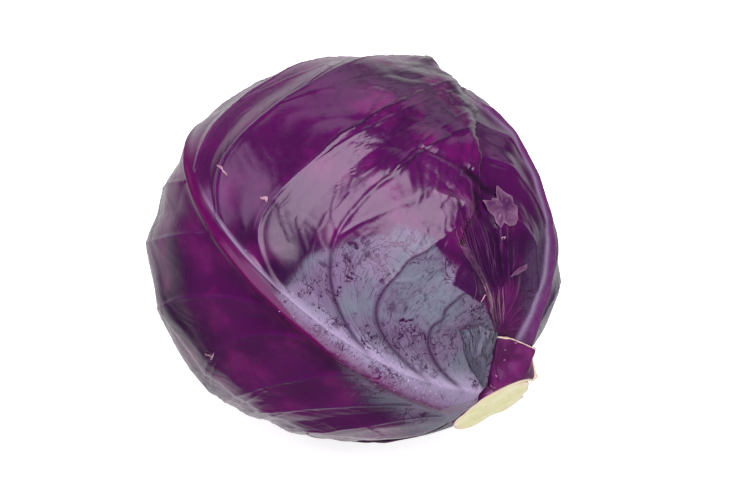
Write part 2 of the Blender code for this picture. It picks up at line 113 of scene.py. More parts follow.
# Half width of a leaf, in degrees round the axis, at polar angles
WIDTH_ANGLES = (12.0, 17.0, 25.0, 50.0, 61.0, 72.0, 85.0, 100.0, 114.0, 135.0, 153.0, 160.0, 166.0)
WIDTHS = (31.0, 45.0, 59.0, 63.0, 68.0, 74.0, 83.0, 93.0, 105.0, 113.0, 112.0, 102.0, 82.0)
# Right margin of the front leaf, which folds in beside the stalk and runs out to the side higher up
FRONT_MARGIN = (
    (12.0, 36.0), (17.0, 46.0), (25.0, 53.5), (39.0, 54.0), (50.0, 52.5), (57.0, 51.5), (61.0, 61.0),
    (66.0, 67.0), (72.0, 71.0), (85.0, 86.0), (100.0, 98.0), (114.0, 106.0), (135.0, 113.0), (166.0, 82.0),
)
FRONT_WIDTH_ANGLES, FRONT_WIDTHS = zip(*FRONT_MARGIN)
# Each row: start on the midrib, then rise, spread and strength of its vein on the right and on the left
FRONT_ROWS = (
    (11.0, 0.0, 10.0, 0.0, 0.0, 20.0, 0.0),
    (21.0, 24.4, 4.0, 1.0, 50.0, 32.0, 0.7),
    (32.0, 29.3, 4.0, 1.0, 50.0, 30.0, 1.0),
    (51.0, 31.1, 9.0, 1.0, 38.0, 38.0, 1.0),
    (66.0, 25.0, 6.0, 0.0, 20.0, 11.0, 1.0),
    (79.0, 19.0, 4.0, 1.0, 35.0, 22.0, 1.0),
    (105.0, 17.0, 6.0, 1.0, 36.0, 38.0, 1.0),
    (126.0, 12.5, 9.0, 1.0, 24.0, 32.0, 0.9),
    (150.0, 3.0, 12.0, 0.8, 7.0, 24.0, 0.8),
    (175.0, -11.0, 26.0, 0.0, -10.0, 26.0, 0.0),
)
# Starts, rises and spread of the veins of the other leaves, with the range of their seeded differences
PLAIN_STARTS = (11.0, 22.0, 36.0, 52.0, 70.0, 90.0, 112.0, 134.0, 154.0, 174.0)
PLAIN_RISES = (0.0, 26.0, 33.0, 33.0, 30.0, 26.0, 20.0, 11.0, 4.0, -12.0)
PLAIN_SPREAD = 15.0
START_JITTER = 2.0
SPREAD_JITTER = 3.0
PLAIN_STRENGTHS = (0.8, 1.0)
# Waves and teeth of the margin: height as a share of the width, and turns for each row
MARGIN_WAVES = ((0.02, 5.3), (0.012, 11.9))
MARGIN_TEETH = ((0.006, 31.0), (0.004, 67.0))
# Points of a leaf's outline along each side, the tip and the base, and the polar angle of its middle
OUTLINE_COUNTS = (46, 30, 8)
LEAF_MIDDLE = 95.0
# Coarse grid on which the distance to each margin is worked out
COARSE_GRID = (73, 65)
# Seeded noise: number of waves, range of their pitch, and what brings it to the range from -1 to 1
WAVE_COUNT = 14
WAVE_PITCHES = (1.3, 2.9)
WAVE_LEVEL = 1.8

# How far up the bloom reaches: azimuth counted from the midrib, and polar angle
WAX_LINE = (
    (-140.0, 16.0), (-60.0, 22.0), (-33.0, 30.0), (-22.0, 38.0), (-8.0, 48.0), (-1.0, 60.0),
    (1.0, 82.0), (4.0, 80.0), (10.0, 76.0), (18.0, 79.0), (23.0, 77.0), (38.0, 69.0),
    (43.0, 62.0), (47.0, 52.0), (49.0, 42.0), (54.0, 30.0), (60.0, 20.0),
)
WAX_ROUND, WAX_REACH = zip(*WAX_LINE)
# Raggedness of the bloom's end on the left and on the right of the midrib, and how wide it fades there
WAX_RAGGED = (9.0, 4.0)
WAX_FADE = (30.0, 9.0)

# Veins: height and half width of the main side veins, of their forks, and of the net between them
VEIN = (0.00062, 0.00085)
FORK = (0.00034, 0.00062)
NET = (0.00012, 0.00055)
# The blade swells between the net's veins by this height, over this reach, and more where it is blistered
NET_PUFF = 0.00012
PUFF_REACH = 0.0032
BLISTER_GAIN = 1.2
# A main vein: where it ends, the width over which it sets in, how far it fades, its points and its wobble
VEIN_END = 0.985
VEIN_SET_IN = 0.10
VEIN_FADE = 0.62
VEIN_POINTS = 420
VEIN_WOBBLES = ((0.022, 17.0, 2.1), (0.012, 41.0, 1.0))
# Forks: range of their start with the side that they turn to, range of their reach, and their points
FORK_STARTS = ((0.36, 0.5, -1.0), (0.55, 0.68, 1.0))
FORK_REACH = (0.38, 0.6)
FORK_POINTS = 160
FORK_END = 0.97
# Cross veins: where they start and stop, with the ranges of their steps, leans, middles and kinks
CROSS_FROM = 0.27
CROSS_UNTIL = 0.93
CROSS_STEPS = (0.05, 0.085)
CROSS_LEANS = (0.02, 0.09)
CROSS_MIDDLES = (0.3, 0.7)
CROSS_KINK = 0.035
# The midrib's crest lies left of its middle, and a thin ridge runs along its right foot
RIB_CREST_SHIFT = 0.35
RIB_RIDGE = 0.00045
# Where the bloom is rubbed off the midrib: distance left of its middle, and half width
CREST_BAND = (0.0012, 0.0028)
# The midrib's profile: height and half width, in its own, of its broad body and of its crest
RIB_BODY = (0.60, 0.9)
RIB_CREST = (0.55, 0.42)
# The right leaf's pale line, a painted reflection along its midrib: distance left of its midrib's middle,
# and half width
SIDE_LINE = (0.0040, 0.0010)
# Broad and small swellings of a blade: height and length
SWELLS = ((0.00045, 0.024), (0.00012, 0.008))
# Tip of the front leaf that flicks up at the crown: height, polar angle, reach, and reach of the painted
# shade under its curl
FLICK = (0.0052, 114.0, 7.0, 5.0)
# Depth over which a leaf's relief fades towards its margin
RELIEF_TAPER = 0.006
# How dark the painted shade in a crease or a covered strip is, and how far a strip beside a covering leaf
# is in that painted shade
SHADE = 0.85
SHADE_REACH = 0.0012
# Margin: share of the width over which it lifts, range and small waves of its lift, and its pale line
MARGIN_REACH = 0.07
MARGIN_LIFT = (7.1, 1.7)
MARGIN_FRILL = (0.0006, 17.0, 6.0)
MARGIN_LINE = 0.0008
# The front leaf's right margin lies down but for this share
FRONT_LIFT = 0.10
# Ridge along the midrib's foot: distance and half width, in the midrib's half widths
RIDGE_BAND = (1.05, 0.16)
# Thick bloom at the midrib's foot: distance in half widths, and half width
FOOT_BAND = (1.3, 0.0042)
# Flecks, painted glints, lie in this band right of the midrib: distance and half width
FLECK_BAND = (0.002, 0.004)
# Share of a row's places that are spread evenly, and not drawn towards the veins
EVEN_ROWS = 0.45
# One of so many columns of a half leaf lies on the midrib
RIB_COLUMNS = 8
# An inner face has one place for so many rows and columns of the outer one
INNER_THINNING = 4
# Length of one row on the leaf's UV map
ROW_LENGTH = 0.3


def unit(polar, azimuth):
    """Unit vectors at polar angles and azimuths given in degrees."""
    polar, azimuth = np.radians(polar), np.radians(azimuth)
    return np.stack(
        [np.sin(polar) * np.cos(azimuth), np.sin(polar) * np.sin(azimuth), -np.cos(polar)], axis=-1
    )


def polar_of(points):
    """Polar angles and azimuths, in degrees, of unit vectors."""
    return (
        np.degrees(np.arccos(np.clip(-points[..., 2], -1.0, 1.0))),
        np.degrees(np.arctan2(points[..., 1], points[..., 0])),
    )


def smooth_step(value):
    """Goes smoothly from 0 to 1 as the value does, and stays there beyond."""
    value = np.clip(value, 0.0, 1.0)
    return value * value * (3.0 - 2.0 * value)


def hill(distance, width):
    """Smooth bump: 1 in the middle, and falling off over a width on either side."""
    return np.exp(-((distance / width) ** 2))


def waves(points, length, seed):
    """Smooth seeded noise from -1 to 1 on the head, with features about one length across."""
    draw = np.random.default_rng(seed)
    total = np.zeros(points.shape[:-1])
    for _ in range(WAVE_COUNT):
        direction = draw.normal(size=3)
        direction /= np.linalg.norm(direction)
        pitch = 2.0 * math.pi * HEAD_RADIUS / (length * draw.uniform(*WAVE_PITCHES))
        total += np.sin(points @ direction * pitch + draw.uniform(0.0, 2.0 * math.pi))
    return total / math.sqrt(WAVE_COUNT / 2.0) / WAVE_LEVEL


def plain_rows(jitter):
    """Rows of a leaf whose veins leave the midrib alike on both sides, with small seeded differences."""
    draw = np.random.default_rng(jitter)
    rows = []
    for place, (start, rise) in enumerate(zip(PLAIN_STARTS, PLAIN_RISES)):
        inside = 0 < place < len(PLAIN_STARTS) - 1
        shift = draw.uniform(-START_JITTER, START_JITTER) if inside else 0.0
        vein = draw.uniform(*PLAIN_STRENGTHS) if inside else 0.0
        spread = PLAIN_SPREAD + draw.uniform(-SPREAD_JITTER, SPREAD_JITTER)
        rows.append((start + shift, rise, spread, vein, rise + shift, spread + 2.0, vein))
    return tuple(rows)


def make_leaf(azimuth, rows, breadth, rib, seed, press, wave, lean, detail, bend=0.0):
    """What sets one leaf apart: where its midrib lies, its veins, its press, waves and lean."""
    return {
        "bend": bend,
        "azimuth": azimuth,
        "rows": np.array(rows).T,
        "breadth": breadth,
        "rib": rib,
        "seed": seed,
        "press": press,
        "wave": wave,
        "lean": lean,
        "detail": detail,
    }


FRONT_AZIMUTH = -58.0
# From the heart outwards. detail is the number of rows between two veins and of columns per half leaf.
LEAVES = {
    "wrapper_leaf_5": make_leaf(124.0, plain_rows(5), 0.96, 0.6, 5, 3, 0.0012, 10.0, (16, 56)),
    "wrapper_leaf_4": make_leaf(-96.0, plain_rows(4), 0.98, 0.6, 4, 2, 0.0012, 12.0, (16, 56)),
    "wrapper_leaf_3": make_leaf(42.0, plain_rows(3), 1.0, 0.6, 3, 1, 0.0008, 18.0, (28, 104), -22.0),
    "wrapper_leaf_2": make_leaf(158.0, plain_rows(2), 1.0, 0.7, 2, 0, 0.0013, 16.0, (28, 104)),
    "wrapper_leaf_1": make_leaf(FRONT_AZIMUTH, FRONT_ROWS, 1.0, 1.0, 1, 0, 0.0014, 24.0, (36, 128)),
}
ORDER = list(LEAVES)
FRONT = LEAVES["wrapper_leaf_1"]


def leaf_axes(leaf):
    """Unit vectors, square to the axis, towards the leaf's midrib and sideways across it."""
    azimuth = math.radians(leaf["azimuth"])
    return (
        np.array([math.cos(azimuth), math.sin(azimuth), 0.0]),
        np.array([-math.sin(azimuth), math.cos(azimuth), 0.0]),
    )


def bend_at(leaf, polar):
    """How far, in degrees, the leaf's midrib curves aside on its way down to the stalk."""
    return leaf["bend"] * smooth_step((BEND_FROM - polar) / BEND_REACH)


def turned_round(points, degrees):
    """Points turned round the head's axis."""
    cosine, sine = np.cos(np.radians(degrees)), np.sin(np.radians(degrees))
    x, y = points[..., 0], points[..., 1]
    return np.stack([x * cosine - y * sine, x * sine + y * cosine, points[..., 2]], axis=-1)


def leaf_points(leaf, row, column):
    """Unit vectors of places on a leaf: row counts along its veins, column runs from -1 to 1 across it."""
    start, *halves = [np.interp(row, np.arange(leaf["rows"].shape[1]), line) for line in leaf["rows"]]
    right = column >= 0
    rise = np.where(right, halves[0], halves[3])
    spread = np.where(right, halves[1], halves[4])
    width = leaf["breadth"] * np.interp(start + rise, WIDTH_ANGLES, WIDTHS)
    if leaf["azimuth"] == FRONT_AZIMUTH:
        width = np.where(right, np.interp(start + rise, FRONT_WIDTH_ANGLES, FRONT_WIDTHS), width)
    (long_wave, long_turns), (short_wave, short_turns) = MARGIN_WAVES
    (broad_tooth, broad_turns), (small_tooth, small_turns) = MARGIN_TEETH
    ripple = 1.0 + long_wave * np.sin(row * long_turns + leaf["seed"])
    ripple = ripple + short_wave * np.sin(row * short_turns + 2.0 * leaf["seed"])
    ragged = broad_tooth * np.sin(row * broad_turns + leaf["seed"] * 3.0)
    ragged = ragged + small_tooth * np.sin(row * small_turns + np.sign(column))
    width = width * (ripple + ragged)
    rib = np.interp(start, RIB_ANGLES, RIB_HALF_WIDTHS) / (HEAD_RADIUS * np.sin(np.radians(start)))
    rib = np.minimum(np.degrees(rib), 0.8 * width)
    across = np.abs(column)
    beyond = np.clip((across - RIB_SHARE) / (1.0 - RIB_SHARE), 0.0, 1.0)
    swing = np.where(across < RIB_SHARE, across / RIB_SHARE * rib, rib + beyond * (width - rib))
    polar = start + rise * (1.0 - np.exp(-np.maximum(swing - rib, 0.0) / spread))
    points = unit(polar, leaf["azimuth"] + np.sign(column) * swing + bend_at(leaf, polar))
    _, sideways = leaf_axes(leaf)
    lean = math.radians(leaf["lean"]) * smooth_step((polar - LEAN_FROM) / (LEAN_FULL - LEAN_FROM))
    turned = points * np.cos(lean)[:, None] - np.cross(sideways, points) * np.sin(lean)[:, None]
    return turned + ((points @ sideways) * (1.0 - np.cos(lean)))[:, None] * sideways


def leaf_outline(leaf):
    """The leaf's margin as a closed run of unit vectors."""
    last = leaf["rows"].shape[1] - 1.0
    side_count, tip_count, base_count = OUTLINE_COUNTS
    along = np.linspace(0.0, last, side_count)
    tip = np.linspace(1.0, -1.0, tip_count)[1:-1]
    base = np.linspace(-1.0, 1.0, base_count)[1:-1]
    rows = np.concatenate([along, np.full(len(tip), last), along[::-1], np.zeros(len(base))])
    columns = np.concatenate([np.ones(len(along)), tip, -np.ones(len(along)), base])
    return leaf_points(leaf, rows, columns)


def segment_distance(points, starts, ends):
    """Distance from each point to each segment."""
    step = ends - starts
    reach = points[:, None, :] - starts[None, :, :]
    along = np.clip((reach * step).sum(-1) / np.maximum((step * step).sum(-1), 1e-12), 0.0, 1.0)
    return np.linalg.norm(reach - along[..., None] * step, axis=-1)


def flat_map(points, centre):
    """Points of the unit sphere laid flat round a centre, true along every line through it."""
    side = np.cross(centre, (0.0, 0.0, 1.0))
    side /= np.linalg.norm(side)
    up = np.cross(side, centre)
    arc = np.arccos(np.clip(points @ centre, -1.0, 1.0))
    x, y = points @ side, points @ up
    return np.stack([x, y], axis=-1) * (arc / np.maximum(np.hypot(x, y), 1e-9))[:, None]


def within(place, corner):
    """True for each flat place inside the closed run of corners."""
    after = np.roll(corner, -1, axis=0)
    x, y = place[:, :1], place[:, 1:]
    straddles = (corner[:, 1] > y) != (after[:, 1] > y)
    rise = np.where(after[:, 1] == corner[:, 1], 1e-12, after[:, 1] - corner[:, 1])
    crossing = corner[:, 0] + (y - corner[:, 1]) * (after[:, 0] - corner[:, 0]) / rise
    return (straddles & (x < crossing)).sum(axis=1) % 2 == 1


def inside_distance(leaf, points):
    """Distance from each place to the leaf's margin along the head, positive on the leaf."""
    outline = leaf_outline(leaf)
    distance = segment_distance(points, outline, np.roll(outline, -1, axis=0)).min(axis=1)
    centre = unit(LEAF_MIDDLE, leaf["azimuth"])
    inside = within(flat_map(points, centre), flat_map(outline, centre))
    return np.where(inside, 1.0, -1.0) * distance * HEAD_RADIUS


def head_shape(points):
    """Radius of the head before its leaves bed in."""
    radius = HEAD_RADIUS * (1.0 - STALK_SWELL * points[..., 2])
    for polar, azimuth, height, reach in BULGES:
        angle = np.degrees(np.arccos(np.clip(points @ unit(polar, azimuth), -1.0, 1.0)))
        radius = radius + height * hill(angle, reach)
    return radius


def rest_limit(points, depth):
    """Largest radius that stays above the surface that the head rests on, by that depth."""
    tilt = math.radians(90.0 - STALK_DROOP)
    down = np.array([-math.sin(tilt), 0.0, -math.cos(tilt)])
    return (CENTRE.z - depth) / np.maximum(points @ down, LEAST_FACING_FLOOR)


def rib_place(leaf, points):
    """Signed distance from the leaf's midrib, and the polar angle along it, over 180 past the crown."""
    outwards, sideways = leaf_axes(leaf)
    points = turned_round(points, -bend_at(leaf, polar_of(points)[0]))
    along = np.degrees(np.arctan2(points @ outwards, -points[..., 2])) % 360.0
    return np.arcsin(np.clip(points @ sideways, -1.0, 1.0)) * HEAD_RADIUS, along


def along_rib(along, values):
    """A value of the midrib at a polar angle along it, smoothed."""
    return sum(np.interp(along + step, RIB_ANGLES, values) for step in RIB_SMOOTHING) / len(RIB_SMOOTHING)


def layer_depth(leaf, points):
    """What a leaf takes up under the next one out, air included."""
    distance, along = rib_place(leaf, points)
    height = leaf["rib"] * along_rib(along, RIB_HEIGHTS)
    half_width = along_rib(along, RIB_HALF_WIDTHS)
    bulge = height * (1.0 - smooth_step((np.abs(distance) / half_width - 1.0) / RIB_FOOT))
    return PLAIN_DEPTH + COVERED_RELIEF * bulge


def upsampler(fine, coarse):
    """Matrix that turns values at coarse stations into values at fine ones, linearly."""
    place = np.clip(np.searchsorted(coarse, fine, side="right") - 1, 0, len(coarse) - 2)
    share = (fine - coarse[place]) / (coarse[place + 1] - coarse[place])
    matrix = np.zeros((len(fine), len(coarse)))
    matrix[np.arange(len(fine)), place] = 1.0 - share
    matrix[np.arange(len(fine)), place + 1] = share
    return matrix


def fields(name, rows, columns):
    """Unit vectors of a leaf's grid, with its distance inside every leaf, from a coarser grid."""
    leaf = LEAVES[name]
    row, column = (grid.ravel() for grid in np.meshgrid(rows, columns, indexing="ij"))
    points = leaf_points(leaf, row, column)
    coarse_rows = np.linspace(rows[0], rows[-1], COARSE_GRID[0])
    coarse_columns = np.linspace(-1.0, 1.0, COARSE_GRID[1])
    grids = np.meshgrid(coarse_rows, coarse_columns, indexing="ij")
    coarse = leaf_points(leaf, grids[0].ravel(), grids[1].ravel())
    down, across = upsampler(rows, coarse_rows), upsampler(columns, coarse_columns)
    inside = {}
    for other in ORDER:
        values = inside_distance(LEAVES[other], coarse).reshape(len(coarse_rows), len(coarse_columns))
        inside[other] = (down @ values @ across.T).ravel()
    return row, column, points, inside


def cover_of(distance):
    """How far a leaf lies over the places at that distance inside its margin."""
    return smooth_step((distance + COVER_CLEAR + COVER_BLEND) / COVER_BLEND)


# Veins


def run_through(leaf, rows, columns, count):
    """Evenly counted unit vectors along a run of places on a leaf."""
    share = np.linspace(0.0, 1.0, len(rows))
    fine = np.linspace(0.0, 1.0, count)
    return leaf_points(leaf, np.interp(fine, share, rows), np.interp(fine, share, columns))


def main_veins(leaf):
    """Main side veins: points and the strength at each."""
    points, strengths = [], []
    for half, strength_row in ((1.0, 3), (-1.0, 6)):
        for row, strength in enumerate(leaf["rows"][strength_row]):
            if strength == 0.0:
                continue
            columns = np.linspace(0.55 * RIB_SHARE, VEIN_END, VEIN_POINTS)
            wobble = sum(size * np.sin(turns * columns + lag * row) for size, turns, lag in VEIN_WOBBLES)
            wobble = wobble * smooth_step((columns - 0.3) / 0.3)
            points.append(leaf_points(leaf, row + wobble, half * columns))
            set_in = smooth_step((columns - 0.7 * RIB_SHARE) / VEIN_SET_IN)
            strengths.append(strength * set_in * (1.0 - VEIN_FADE * columns))
    return np.concatenate(points), np.concatenate(strengths)


def fork_veins(leaf):
    """Branches that leave a main vein part of the way out and end near the margin."""
    draw = np.random.default_rng(leaf["seed"] + 40)
    points, strengths = [], []
    for half, strength_row in ((1.0, 3), (-1.0, 6)):
        for row, strength in enumerate(leaf["rows"][strength_row]):
            if strength == 0.0:
                continue
            starts = [draw.uniform(low, high) for low, high, _ in FORK_STARTS]
            for start, (_, _, towards) in zip(starts, FORK_STARTS):
                reach = draw.uniform(*FORK_REACH) * towards
                columns = np.array([start, start + 0.12, start + 0.26, FORK_END])
                rows = row + reach * np.array([0.0, 0.45, 0.8, 1.0])
                rows = np.clip(rows, 0.2, leaf["rows"].shape[1] - 1.2)
                points.append(run_through(leaf, rows, half * np.minimum(columns, FORK_END), FORK_POINTS))
                strengths.append(np.linspace(1.0, 0.35, FORK_POINTS))
    return np.concatenate(points), np.concatenate(strengths)


def net_veins(leaf):
    """Fine cross veins that tie the main veins together in a loose net."""
    draw = np.random.default_rng(leaf["seed"] + 80)
    points = []
    for half in (1.0, -1.0):
        for row in range(1, leaf["rows"].shape[1] - 1):
            column = CROSS_FROM + draw.uniform(0.0, 0.05)
            while column < CROSS_UNTIL:
                lean = draw.uniform(*CROSS_LEANS)
                middle = draw.uniform(*CROSS_MIDDLES)
                kink = draw.uniform(-CROSS_KINK, CROSS_KINK)
                columns = np.array([column, column + lean * middle + kink, column + lean])
                line = run_through(leaf, row + np.array([0.0, middle, 1.0]), half * columns, 80)
                points.append(line)
                branch = np.array([column + lean * middle + kink, column + 0.05, column + 0.075])
                branch_rows = row + middle + np.array([0.0, 0.06, 0.02]) * draw.choice([-1.0, 1.0])
                points.append(run_through(leaf, branch_rows, half * np.minimum(branch, 0.96), 40))
                column += draw.uniform(*CROSS_STEPS)
    return np.concatenate(points)


def nearest(lines, points):
    """Distance in metres from each place to the nearest point of a set, and the index of that point."""
    tree = kdtree.KDTree(len(lines))
    for place, point in enumerate(lines):
        tree.insert(point, place)
    tree.balance()
    found = [tree.find(point)[1:] for point in points.tolist()]
    index, distance = np.array(found).T
    return distance * HEAD_RADIUS, index.astype(int)


def blistered(points):
    """How strongly the blade swells between its veins: most towards the upper right margin."""
    polar, azimuth = polar_of(points)
    share = smooth_step((azimuth + 34.0) / 24.0) * smooth_step((polar - 58.0) / 16.0)
    return share * smooth_step((132.0 - polar) / 20.0) * (np.abs(azimuth) < 75.0)


def vein_relief(leaf, points, distance, half_width):
    """Relief of the veins, with the share of a main vein and of a fine one at each place."""
    main, main_strength = main_veins(leaf)
    fork, fork_strength = fork_veins(leaf)
    main_gap, main_place = nearest(main, points)
    fork_gap, fork_place = nearest(fork, points)
    net_gap, _ = nearest(net_veins(leaf), points)
    beside = np.maximum(np.abs(distance) - half_width, 0.0)
    power = main_strength[main_place]
    width = VEIN[1] * (0.65 + 0.7 * power)
    crest = power * hill(main_gap, width)
    minor = fork_strength[fork_place] * hill(fork_gap, FORK[1])
    net = hill(net_gap, NET[1]) * smooth_step(beside / 0.006)
    gap = np.minimum(main_gap, fork_gap)
    blister = 1.0 + BLISTER_GAIN * blistered(points)
    puff = NET_PUFF * blister * (1.0 - hill(np.minimum(net_gap, gap), PUFF_REACH))
    tent = TENT * hill(np.minimum(main_gap, beside), TENT_REACH)
    relief = np.maximum(VEIN[0] * crest, FORK[0] * minor) + NET[0] * net + puff + tent
    fine = np.maximum(minor * 0.7, net * 0.45)
    return relief, hill(main_gap, 0.8 * width) * np.minimum(1.0, 1.6 * power), fine


# Crumpled right side of the front leaf: creases as polar angles and azimuths, with depth and width
CREASES = (
    (((74.0, 6.6), (71.7, 8.0), (69.0, 9.4), (65.4, 12.0), (62.6, 15.6)), -0.0034, 0.0017),
    (((67.5, 7.2), (65.0, 6.4), (62.2, 5.5), (59.0, 4.6)), -0.0024, 0.0012),
    (((58.5, -8.4), (50.2, -6.9), (44.9, -6.0), (38.8, -5.3), (30.0, -5.6)), -0.0005, 0.0010),
    (((84.0, -2.0), (78.0, 3.0), (73.0, 7.6)), -0.0007, 0.0011),
    (((36.4, -1.6), (32.0, -2.2), (27.7, -3.2)), -0.0016, 0.0008),
)
RAISED_FOLDS = (
    (((57.1, -7.1), (50.2, -5.5), (44.9, -4.5), (38.8, -3.8), (30.9, -4.3), (27.9, -4.1)), 0.0009, 0.0009),
    (((72.0, -6.0), (67.0, -1.0), (63.0, 2.0), (58.0, 1.0)), 0.0005, 0.0012),
)
# Pale nicks in the skin, in the same way, each with its half width
NICKS = ((((29.8, 72.6), (28.2, 74.4)), 0.00080),)
# Bare triangle of the front leaf where its margin folds in: no bloom there, and darkened with painted shade
BARE_SHADE_CORNERS = (
    (61.9, -15.6), (53.0, -11.3), (49.0, -16.8), (40.1, -10.5), (38.3, -5.7), (45.5, -6.0), (53.9, -8.8)
)
PLEAT_FOOT = (26.0, -2.0)
PLEAT_PITCH = 21.0
PLEAT_HEIGHT = 0.00035
# Part of the head that the creases can reach, as polar angles and azimuths
CREASED_POLAR = (18.0, 135.0)
CREASED_AZIMUTH = (-45.0, 60.0)
# Points along a run, how softly a run ends, and the depth from which the painted shade in a crease is as
# dark as it gets
RUN_POINTS = 120
RUN_SOFTNESS = 0.35
DARKEST_CREASE = 0.0022
# Rough waves of the crumpled side: height and length
ROUGH_WAVES = ((0.0007, 0.013), (0.00025, 0.007))
# Fan of torn fibres beside the stalk: azimuth of its middle, spread on its right and on its left
FAN_MIDDLE = 2.0
FAN_SPREAD = (17.0, 15.0)


def run_on_head(corners, count=RUN_POINTS):
    """Points along a run of polar angles and azimuths."""
    polar, azimuth = np.array(corners).T
    share = np.linspace(0.0, 1.0, len(corners))
    fine = np.linspace(0.0, 1.0, count)
    return unit(np.interp(fine, share, polar), np.interp(fine, share, azimuth))


def crumple(points):
    """Relief of the creased right side, with the painted shade each place gets deep in a crease, and how
    high on a fold it is.
    """
    polar, azimuth = polar_of(points)
    relief = np.zeros(len(points))
    painted_shade = np.zeros(len(points))
    fold = np.zeros(len(points))
    near = (azimuth > CREASED_AZIMUTH[0]) & (azimuth < CREASED_AZIMUTH[1])
    near = near & (polar > CREASED_POLAR[0]) & (polar < CREASED_POLAR[1])
    chosen = points[near]
    for group, mark in ((CREASES, painted_shade), (RAISED_FOLDS, fold)):
        for corners, height, width in group:
            gap, place = nearest(run_on_head(corners), chosen)
            ends = np.sin(np.pi * np.clip((place + 0.5) / RUN_POINTS, 0.0, 1.0)) ** RUN_SOFTNESS
            shape = hill(gap, width) * ends
            relief[near] += height * shape
            mark[near] = np.maximum(mark[near], shape * min(1.0, abs(height) / DARKEST_CREASE))
    foot = unit(*PLEAT_FOOT)
    flat = flat_map(points, foot)
    angle = np.arctan2(flat[:, 1], flat[:, 0])
    reach = np.hypot(flat[:, 0], flat[:, 1]) * HEAD_RADIUS
    pleat = np.abs(np.sin(0.5 * PLEAT_PITCH * angle + 1.6 * waves(points, 0.03, 7))) ** 0.7 - 0.6
    zone = smooth_step((azimuth + 22.0) / 14.0) * smooth_step((100.0 - polar) / 25.0)
    zone = zone * smooth_step((reach - 0.006) / 0.02) * (np.abs(azimuth) < 60.0)
    (broad, broad_length), (small, small_length) = ROUGH_WAVES
    rough = broad * np.abs(waves(points, broad_length, 11))
    rough = rough + small * np.abs(waves(points, small_length, 12))
    upper = smooth_step((azimuth + 26.0) / 18.0) * smooth_step((polar - 60.0) / 20.0)
    upper = upper * smooth_step((125.0 - polar) / 20.0) * (np.abs(azimuth) < 60.0)
    relief = relief + PLEAT_HEIGHT * pleat * zone + rough * np.maximum(upper, 0.6 * zone)
    aside = (azimuth - FAN_MIDDLE) / np.where(azimuth > FAN_MIDDLE, *FAN_SPREAD)
    fan = smooth_step(1.6 * (1.0 - np.abs(aside))) * smooth_step((78.0 - polar) / 18.0)
    fan = fan * smooth_step((polar - 22.0) / 4.0)
    return relief, painted_shade, fold, {"fan": fan, "fan_turn": angle, "fan_reach": reach / HEAD_RADIUS}


def nick_share(points):
    """How far each place lies in a pale nick."""
    share = np.zeros(len(points))
    for corners, width in NICKS:
        middle = unit(*np.mean(corners, axis=0))
        near = points @ middle > 0.98
        if near.any():
            gap, _ = nearest(run_on_head(corners, 40), points[near])
            share[near] = np.maximum(share[near], np.exp(-((gap / width) ** 4)))
    return share


def bare_shade_share(points):
    """How far each place lies in the bare triangle beside the folded margin, which is also darkened with
    painted shade.
    """
    corners = unit(*np.array(BARE_SHADE_CORNERS).T)
    middle = corners.mean(axis=0)
    middle = middle / np.linalg.norm(middle)
    flat, outline = flat_map(points, middle), flat_map(corners, middle)
    inside = within(flat, outline)
    distance = segment_distance(flat, outline, np.roll(outline, -1, axis=0)).min(axis=1) * HEAD_RADIUS
    return smooth_step(np.where(inside, distance, -distance) / 0.0012 + 0.5) * (points @ middle > 0.8)


def wax_share(leaf, points):
    """How much waxy bloom lies on each place of a leaf."""
    polar, azimuth = polar_of(points)
    round_leaf = (azimuth - leaf["azimuth"] + 180.0) % 360.0 - 180.0
    reach = np.interp(round_leaf, WAX_ROUND, WAX_REACH)
    left = round_leaf < -2.0
    ragged = np.where(left, *WAX_RAGGED) * waves(points, 0.018, leaf["seed"] + 3)
    reach = reach + ragged + 2.5 * waves(points, 0.008, leaf["seed"] + 4)
    return smooth_step((reach - polar) / np.where(left, *WAX_FADE) + 0.5)


def cut_limit(points):
    """Largest radius that stays inside the slanting cut of the stalk."""
    lean, slant = math.radians(CUT_SLANT_AZIMUTH), math.tan(math.radians(CUT_SLANT))
    facing = -points[:, 2] - slant * (points[:, 0] * math.cos(lean) + points[:, 1] * math.sin(lean))
    return (CUT_DISTANCE - CUT_CLEAR) / np.maximum(facing, LEAST_FACING_CUT)


def stations(name):
    """Rows, closer together beside each vein, and columns of a leaf's grid, in whole multiples of four."""
    between, half = LEAVES[name]["detail"]
    last = LEAVES[name]["rows"].shape[1] - 1
    step = np.arange(between) / between
    step = EVEN_ROWS * step + (1.0 - EVEN_ROWS) * smooth_step(step)
    rows = np.concatenate([[whole + step] for whole in range(last)], axis=None)
    rib_count = half // RIB_COLUMNS
    rib = np.linspace(0.0, RIB_SHARE, rib_count + 1)
    blade = np.linspace(RIB_SHARE, 1.0, half - rib_count + 1)[1:]
    sides = np.concatenate([rib, blade])
    return np.append(rows, float(last)), np.concatenate([-sides[:0:-1], sides])


